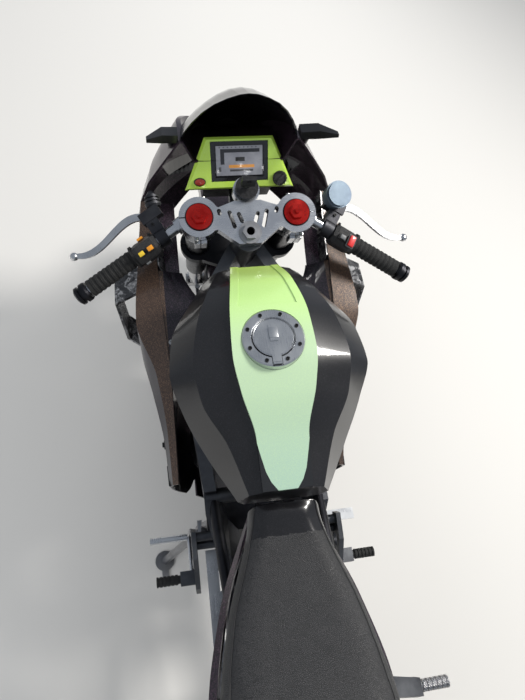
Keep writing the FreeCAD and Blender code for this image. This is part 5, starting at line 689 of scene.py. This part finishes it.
# %% Helpers for pieces
def settle(piece, name, place, paint, body):
    """Leans a drawn piece with its frame, checks its normals and lets it ride on its body."""
    bpy.ops.object.select_all(action="DESELECT")
    piece.select_set(True)
    bpy.context.view_layer.objects.active = piece
    bpy.ops.object.transform_apply(location=True, rotation=True, scale=True)
    piece.data.transform(place)
    piece.name = name
    piece.data.name = name
    bpy.ops.object.mode_set(mode="EDIT")
    bpy.ops.mesh.select_all(action="SELECT")
    bpy.ops.mesh.normals_make_consistent(inside=False)
    bpy.ops.object.mode_set(mode="OBJECT")
    piece.data.materials.clear()
    piece.data.materials.append(paint)
    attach(piece, body)
    piece.select_set(False)
    return piece


def pick_faces(piece, test):
    """Selects the faces whose centre and normal pass the test."""
    bpy.ops.object.mode_set(mode="OBJECT")
    mesh = piece.data
    for item in (*mesh.vertices, *mesh.edges, *mesh.polygons):
        item.select = False
    for face in mesh.polygons:
        face.select = test(face.center, face.normal)
    bpy.ops.object.mode_set(mode="EDIT")
    bpy.ops.mesh.select_mode(type="FACE")


def rounded(piece, width, steps=2):
    bpy.context.view_layer.objects.active = piece
    edge = piece.modifiers.new("round", "BEVEL")
    edge.width = width * MM
    edge.segments = steps
    edge.limit_method = "ANGLE"
    bpy.ops.object.modifier_apply(modifier="round")
    piece.select_set(True)
    bpy.ops.object.shade_smooth_by_angle(angle=math.radians(35))


def block(size, spot, turn=(0, 0, 0), corner=0.8):
    """Rounded block: size and place in upright millimetres, turn in degrees."""
    bpy.ops.object.select_all(action="DESELECT")
    bpy.ops.mesh.primitive_cube_add(size=1, location=[v * MM for v in spot],
                                    rotation=[math.radians(a) for a in turn])
    piece = bpy.context.object
    piece.scale = [v * MM for v in size]
    bpy.ops.object.transform_apply(location=False, rotation=False, scale=True)
    rounded(piece, corner)
    return piece


def disc(radius, depth, spot, turn=(0, 0, 0), sides=28, corner=0.5):
    bpy.ops.object.select_all(action="DESELECT")
    bpy.ops.mesh.primitive_cylinder_add(vertices=sides, radius=radius * MM, depth=depth * MM,
                                        location=[v * MM for v in spot],
                                        rotation=[math.radians(a) for a in turn])
    piece = bpy.context.object
    if corner:
        rounded(piece, corner)
    return piece


def socket_bolt(radius, height, spot, turn=(0, 0, 0)):
    """Cap screw: a cylinder with a round pocket pushed into its inset top."""
    bpy.ops.object.select_all(action="DESELECT")
    bpy.ops.mesh.primitive_cylinder_add(vertices=18, radius=radius * MM, depth=height * MM)
    piece = bpy.context.object
    pick_faces(piece, lambda c, n: n.z > 0.9)
    bpy.ops.mesh.inset(thickness=radius * 0.16 * MM, depth=0)
    bpy.ops.mesh.inset(thickness=radius * 0.3 * MM, depth=0)
    bpy.ops.mesh.extrude_region_move(TRANSFORM_OT_translate={"value": (0, 0, -height * 0.55 * MM)})
    bpy.ops.object.mode_set(mode="OBJECT")
    piece.select_set(True)
    bpy.ops.object.shade_smooth_by_angle(angle=math.radians(40))
    piece.location = [v * MM for v in spot]
    piece.rotation_euler = [math.radians(a) for a in turn]
    return piece


def joined(pieces):
    bpy.ops.object.select_all(action="DESELECT")
    for piece in pieces:
        piece.select_set(True)
    bpy.context.view_layer.objects.active = pieces[0]
    bpy.ops.object.transform_apply(location=True, rotation=True, scale=True)
    if len(pieces) > 1:
        bpy.ops.object.join()
    return bpy.context.object


def coloured(name, colour, rough=0.4, metal=0.0, coat=0.0, vary=0.35, scale=90):
    """Moulded or painted small part: one tone with soft cloudy wear in colour and gloss."""
    paint = finish(name, colour, rough, metal, coat)
    clouds = noise(paint, coordinates(paint, **UPRIGHT), scale, 4)
    shade(paint, "Base Color", ramp(paint, clouds, [(0.3, tuple(c * (1 - vary) for c in colour)),
                                                    (0.7, colour)]))
    shade(paint, "Roughness", ramp(paint, clouds, [(0.3, (rough * 0.8,) * 3),
                                                   (0.7, (min(rough * 1.3, 1),) * 3)]))
    bump(paint, noise(paint, coordinates(paint, **UPRIGHT), 1400, 2), 0.15, 0.0001)
    return paint


button_orange = coloured("button_orange", (0.85, 0.33, 0.02), 0.42, coat=0.2)
button_yellow = coloured("button_yellow", (0.9, 0.62, 0.04), 0.42, coat=0.2)
switch_red = coloured("switch_red", (0.62, 0.02, 0.02), 0.35, coat=0.5)
hazard_red = coloured("hazard_red", (0.34, 0.035, 0.02), 0.3, coat=0.6)
switch_grey = coloured("switch_grey", (0.16, 0.165, 0.17), 0.5)
zinc = coloured("zinc_bolt", (0.50, 0.50, 0.49), 0.3, 1.0, vary=0.25)
black_bolt = coloured("black_bolt", (0.03, 0.03, 0.031), 0.38, 0.7)
print("finishes", len(bpy.data.materials))

# %% [markdown]
# The display shows a rev band, a few level bars and a pale ground, all without letters. It is
# a thin pane in the display's dip. The picture is a node pattern on the pane's own flat
# coordinates: rows and columns of rectangles made from the pane's left-right and up-down.

# %% Display pane
DASH_TILT = 54.5
dash = bike @ Matrix.Translation((0, 1.271, 0.900)) @ Matrix.Rotation(math.radians(DASH_TILT), 4, "X")
dash_turn = (math.radians(DASH_TILT), -lean, 0)
PANE_W, PANE_H, PANE_DEEP = 101, 63, 0.7


def display_picture():
    paint = finish("display_picture", (0.2, 0.2, 0.2), 0.25, 0, 0.6, 0.05)
    spot = coordinates(paint, tuple(dash.to_translation()), dash_turn)
    x, y, z = parts_of(paint, spot)[:3]

    def within(value, low, high):
        over = math_node(paint, "GREATER_THAN", value, low * MM)
        under = math_node(paint, "LESS_THAN", value, high * MM)
        return math_node(paint, "MULTIPLY", over, under)

    def bar(x0, x1, y0, y1):
        return math_node(paint, "MULTIPLY", within(x, x0, x1), within(y, y0, y1))

    ground = ramp(paint, noise(paint, spot, 40, 3), [(0.3, (0.16, 0.165, 0.19)), (0.7, (0.23, 0.235,
                                                                                        0.26))])
    picture = ground
    rows = ((-39, 42, 21, 28, (0.015, 0.016, 0.02)), (-39, -31, -2, 28, (0.015, 0.016, 0.02)),
            (-8, 11, 4, 12, (0.02, 0.02, 0.02)), (-22, 31, -9, -3, (0.5, 0.22, 0.05)),
            (-20, 28, -16, -12, (0.05, 0.05, 0.055)), (-43, -38, -16, -7, (0.05, 0.05, 0.055)))
    for x0, x1, y0, y1, tone in rows:
        picture = blend(paint, bar(x0, x1, y0, y1), picture, tone)
    ticks = math_node(paint, "LESS_THAN", math_node(paint, "FRACT", math_node(paint, "MULTIPLY", x,
                                                                              120)), 0.3)
    marks = math_node(paint, "MULTIPLY", ticks, bar(-42, 42, 30, 32))
    picture = blend(paint, marks, picture, (0.04, 0.04, 0.05))
    edge = bar(-48, 48, -24, 34)
    picture = blend(paint, edge, (0.006, 0.006, 0.007), picture)
    shade(paint, "Base Color", picture)
    shade(paint, "Emission Color", picture)
    paint.node_tree.nodes["Principled BSDF"].inputs["Emission Strength"].default_value = 0.25
    return paint


pane = block((PANE_W, PANE_H, PANE_DEEP), (0, 4, -0.8), corner=0.2)
settle(pane, "display_pane", dash, display_picture(), "chassis")

# %% [markdown]
# Seats. A seat is foam under a stretched cover, so its faces swell and its edges stay tight.
# The solid is copied and drawn in a little, remeshed evenly, and blown up as cloth with gravity
# off. A cap keeps each point near its start, and nearly all points of both cushions reach it.
# The welt where top and side covers meet is a thin cord of vinyl laid along the swollen edge
# afterwards. The front of the rider cushion wears the tank's gloss paint, because the solid
# tank ends ahead of where the photograph shows it.

# %% Cushions
VOXEL = 5.5 * MM
DRAWN_IN = 2.5 * MM
SWELL_CAP = 6 * MM
PRESSURE = 4
CLOTH_STEPS = 20
GLOSS_NOSE_Y = 552 * MM


def cushion(node, name, cap, body="chassis"):
    source = frame["nodes"][node]
    piece = bpy.data.objects.new(name, source.data.copy())
    bpy.context.scene.collection.objects.link(piece)
    bpy.ops.object.select_all(action="DESELECT")
    piece.select_set(True)
    bpy.context.view_layer.objects.active = piece
    voxels = piece.modifiers.new("even", "REMESH")
    voxels.mode = "VOXEL"
    voxels.voxel_size = VOXEL
    bpy.ops.object.modifier_apply(modifier="even")
    bpy.ops.object.mode_set(mode="EDIT")
    bpy.ops.mesh.select_all(action="SELECT")
    bpy.ops.mesh.vertices_smooth(factor=0.5, repeat=6)
    bpy.ops.transform.shrink_fatten(value=-DRAWN_IN)
    bpy.ops.object.mode_set(mode="OBJECT")
    start = [v.co.copy() for v in piece.data.vertices]
    cloth = piece.modifiers.new("cover", "CLOTH")
    cloth.settings.use_pressure = True
    cloth.settings.uniform_pressure_force = PRESSURE
    cloth.settings.effector_weights.gravity = 0
    for step in range(1, CLOTH_STEPS + 1):
        bpy.context.scene.frame_set(step)
    bpy.ops.object.modifier_apply(modifier="cover")
    bpy.context.scene.frame_set(1)
    for vertex, old in zip(piece.data.vertices, start):
        step = vertex.co - old
        if step.length > cap:
            vertex.co = old + step.normalized() * cap
    bpy.ops.object.mode_set(mode="EDIT")
    bpy.ops.mesh.select_all(action="SELECT")
    bpy.ops.mesh.vertices_smooth(factor=0.5, repeat=3)
    bpy.ops.object.mode_set(mode="OBJECT")
    finer = piece.modifiers.new("finer", "SUBSURF")
    finer.levels = 1
    bpy.ops.object.modifier_apply(modifier="finer")
    bpy.ops.object.shade_smooth()
    piece.data.materials.clear()
    piece.data.materials.append(vinyl)
    piece.data.materials.append(side_vinyl)
    piece.data.materials.append(plain_black)
    tilt = bike.to_3x3()
    up = tilt @ Vector((0, 0, 1))
    for face in piece.data.polygons:
        face.material_index = 0 if face.normal.dot(up) > 0.55 else 1
        if node == "rider_seat" and (bike.inverted() @ face.center).y > GLOSS_NOSE_Y:
            face.material_index = 2
    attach(piece, body)
    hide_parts(node)
    print(name, len(piece.data.vertices), "points")
    return piece


rider = cushion("rider_seat", "rider_cushion", SWELL_CAP)
pillion = cushion("pillion_seat", "pillion_cushion", SWELL_CAP)

# %% [markdown]
# Welts follow the cushion's own surface. Each point of a guide line is dropped on the nearest
# place of the swollen cover, so the cord sits half in the seam wherever the foam ends up.

# %% Seams
def seam(host, name, guide, radius, paint):
    """Cord along a guide of upright millimetres, laid on its cushion."""
    bpy.ops.object.select_all(action="DESELECT")
    spots = []
    for a, b in zip(guide, guide[1:]):
        for step in range(9):
            share = step / 9
            spots.append(at(*(a[i] + share * (b[i] - a[i]) for i in range(3))))
    spots.append(at(*guide[-1]))
    line = bpy.data.curves.new(name, "CURVE")
    line.dimensions = "3D"
    line.bevel_depth = radius * MM
    line.bevel_resolution = 2
    line.use_fill_caps = True
    path = line.splines.new("POLY")
    path.points.add(len(spots) - 1)
    for point, spot in zip(path.points, spots):
        near, normal = host.closest_point_on_mesh(spot)[1:3]
        point.co = (*(near + normal * radius * 0.2 * MM), 1)
    cord = bpy.data.objects.new(name, line)
    bpy.context.scene.collection.objects.link(cord)
    cord.select_set(True)
    bpy.context.view_layer.objects.active = cord
    bpy.ops.object.convert(target="MESH")
    cord = bpy.context.object
    bpy.ops.object.shade_smooth()
    return settle(cord, name, Matrix.Identity(4), paint, "chassis")


welt = coloured("welt_vinyl", (0.02, 0.02, 0.021), 0.5)
rider_edge = [(600, 60, 806), (560, 70, 785), (450, 106, 772), (361, 126, 770), (296, 136, 778),
              (232, 126, 816)]
pillion_edge = [(214, 102, 876), (120, 102, 886), (0, 88, 894), (-90, 66, 900)]
for side in (1, -1):
    hand = "right" if side > 0 else "left"
    seam(rider, "rider_welt_" + hand, [(side * x, y, z) for y, x, z in rider_edge], 1.6, welt)
    seam(pillion, "pillion_welt_" + hand, [(side * x, y, z) for y, x, z in pillion_edge], 1.6, welt)

# %% [markdown]
# Filler cap. Its flange is held by a ring of cap screws round the lid. One screw is modelled
# with its socket and made again at eight even places round the circle.

# %% Cap screws
cap = bike @ Matrix.Translation((0, 0.838, 0.952))
screws = []
for i in range(8):
    angle = math.radians(45 * i + 22.5)
    screws.append(socket_bolt(3.3, 2.6, (44 * math.cos(angle), 44 * math.sin(angle), 1.4)))
settle(joined(screws), "cap_screws", cap, black_bolt, "chassis")
flap = block((15, 19, 1.2), (0, 7, 3.9), corner=0.5)
settle(flap, "cap_key_flap", cap, bright, "fuel_lid")

# %% [markdown]
# Handlebar controls. The bar's own frame has its length as Z, so a button is named by how far
# ahead of the bar, above it and out along it. The left bar is the right one mirrored.

# %% Buttons on the bars
SWEEP, DROOP = math.radians(30), math.radians(9.5)
way = Vector((math.cos(SWEEP) * math.cos(DROOP), -math.sin(SWEEP) * math.cos(DROOP), -math.sin(DROOP)))
rise = (Vector((0, 0, 1)) - way * way.z).normalized()
ahead = rise.cross(way)
bar_right = steer @ Matrix.Translation((0.095, 0.055, 0.625)) @ Matrix((ahead, rise,
                                                                        way)).transposed().to_4x4()
mirror = steer @ Matrix.Diagonal((-1, 1, 1, 1)) @ steer.inverted()
bar_left = mirror @ bar_right

buttons = [
    ("turn_button", bar_left, (9, 4, 11), (-10, 34.5, 134.8), 1.2, button_yellow),
    ("horn_button", bar_left, (9, 4, 12), (-10, 33.6, 114.8), 1.2, button_orange),
    ("pass_button", bar_left, (5, 9, 13), (23, 4, 124), 1.2, button_orange),
    ("mode_button", bar_left, (4, 8, 10), (-25.5, 4, 136), 1, switch_grey),
    ("kill_switch", bar_right, (23, 5, 13), (-9.6, 36, 134.8), 1.8, switch_red),
    ("kill_switch_bed", bar_right, (27, 3, 17), (-9.6, 32.5, 134.8), 1.2, switch_grey),
    ("start_button", bar_right, (9, 4, 12), (-10, 33.6, 114.8), 1.2, switch_grey),
]
for name, place, size, spot, corner, paint in buttons:
    settle(block(size, spot, corner=corner), name, place, paint, "steering")
for name, place in (("right", bar_right), ("left", bar_left)):
    bolts = [socket_bolt(3.2, 4, (19.5, y, 104), (0, 90, 0)) for y in (-9, 9)]
    bolts += [socket_bolt(3, 4, (30, 12.5, 86), (-90, 0, 0))]
    settle(joined(bolts), "housing_bolts_" + name, place, black_bolt, "steering")

# %% [markdown]
# Dash details: an oval hazard rocker in red, and a screwed socket cap with a ribbed grip.

# %% Dash controls
rocker = disc(7.6, 4, (0, 0, 0), sides=36, corner=1)
rocker.scale = (1.35, 0.86, 1)
rocker.location = (-0.084, -0.034, 0.0058)
settle(rocker, "hazard_rocker", dash, hazard_red, "chassis")
rim = disc(9.4, 3, (0, 0, 0), sides=36, corner=0.8)
rim.scale = (1.32, 0.9, 1)
rim.location = (-0.084, -0.034, 0.0037)
settle(rim, "hazard_rim", dash, gloss_plastic, "chassis")
collar = disc(15, 3, (84, -32, 3.6), sides=48, corner=1)
ribs = [block((2.2, 4, 4.2),
              (84 + 13.4 * math.cos(math.radians(a)), -32 + 13.4 * math.sin(math.radians(a)), 5.4),
              (0, 0, a + 90), 0.5) for a in range(0, 360, 24)]
grip_bar = block((20, 5, 4), (84, -32, 6.6), (0, 0, 35), 1.5)
settle(joined([collar, grip_bar] + ribs), "socket_cap", dash, plastic, "chassis")

# %% [markdown]
# Side panels. Each has a rubber-bushed bolt low at its rear and four blades along its rear edge.
# Two screws on each side hold the inner panels.

# %% Panel fasteners and blades
for side in (1, -1):
    hand = "right" if side > 0 else "left"
    boss = disc(11, 7, (side * 207, 812, 500), (0, 90 * side, 0), 32, 1.5)
    screw = socket_bolt(6, 6, (side * 211.5, 812, 500), (0, 90 * side, 0))
    settle(boss, "panel_bush_" + hand, bike, rubber, "chassis")
    settle(screw, "panel_bolt_" + hand, bike, black_bolt, "chassis")
    blades = [block((3, 46, 15), (side * (203 - 1.5 * i), 742 + 5 * i, 486 - 26 * i),
                    (14, side * 24, side * 4), 1)
              for i in range(4)]
    settle(joined(blades), "panel_blades_" + hand, bike, gloss_plastic, "chassis")
    spots = [(side * 106, 1079, 745.5), (side * 170, 960, 726)]
    screws = [socket_bolt(5.5, 3, spot, (6, side * 4, 0)) for spot in spots]
    settle(joined(screws), "inner_screws_" + hand, bike, zinc, "chassis")

# %% [markdown]
# Clamp bolts. Each collar of the top clamp is pinched by one screw from behind and one from the
# front. Bright metal without fasteners looks cast in one piece.

# %% Clamp fasteners
for side in (1, -1):
    hand = "right" if side > 0 else "left"
    pair = [socket_bolt(4.5, 5, (side * 104, -5.5, 652), (90, 0, 0)),
            socket_bolt(4.5, 5, (side * 84, 74, 652), (-90, 0, 0))]
    settle(joined(pair), "clamp_bolts_" + hand, steer, zinc, "steering")

# %% [markdown]
# Shade sheets. The gaps under the dash, along the rims ahead of the inner panels and at the screen's
# foot look black in the photograph, and what closes them can't be made out. Thin black sheets and a
# black disc stand there as painted shade, and are a guess. They are placed outside the fork's swing.

# %% Shade sheets
under_dash = block((150, 3, 88), (0, 1283, 812), (25.6, 0, 0), 1)
settle(under_dash, "dash_shade_sheet", bike, plastic, "chassis")
foot = disc(35, 6, (0, 1475, 808), (90, 0, 0), 40, 0.6)
foot.scale = (1, 0.86, 1)
settle(foot, "screen_foot_shade_disc", bike, rubber, "chassis")
for side in (1, -1):
    hand = "right" if side > 0 else "left"
    sheet = block((54, 165, 2.5), (side * 168, 1187, 768), (21, 0, 0), 1)
    settle(sheet, "rim_shade_sheet_" + hand, bike, black, "chassis")
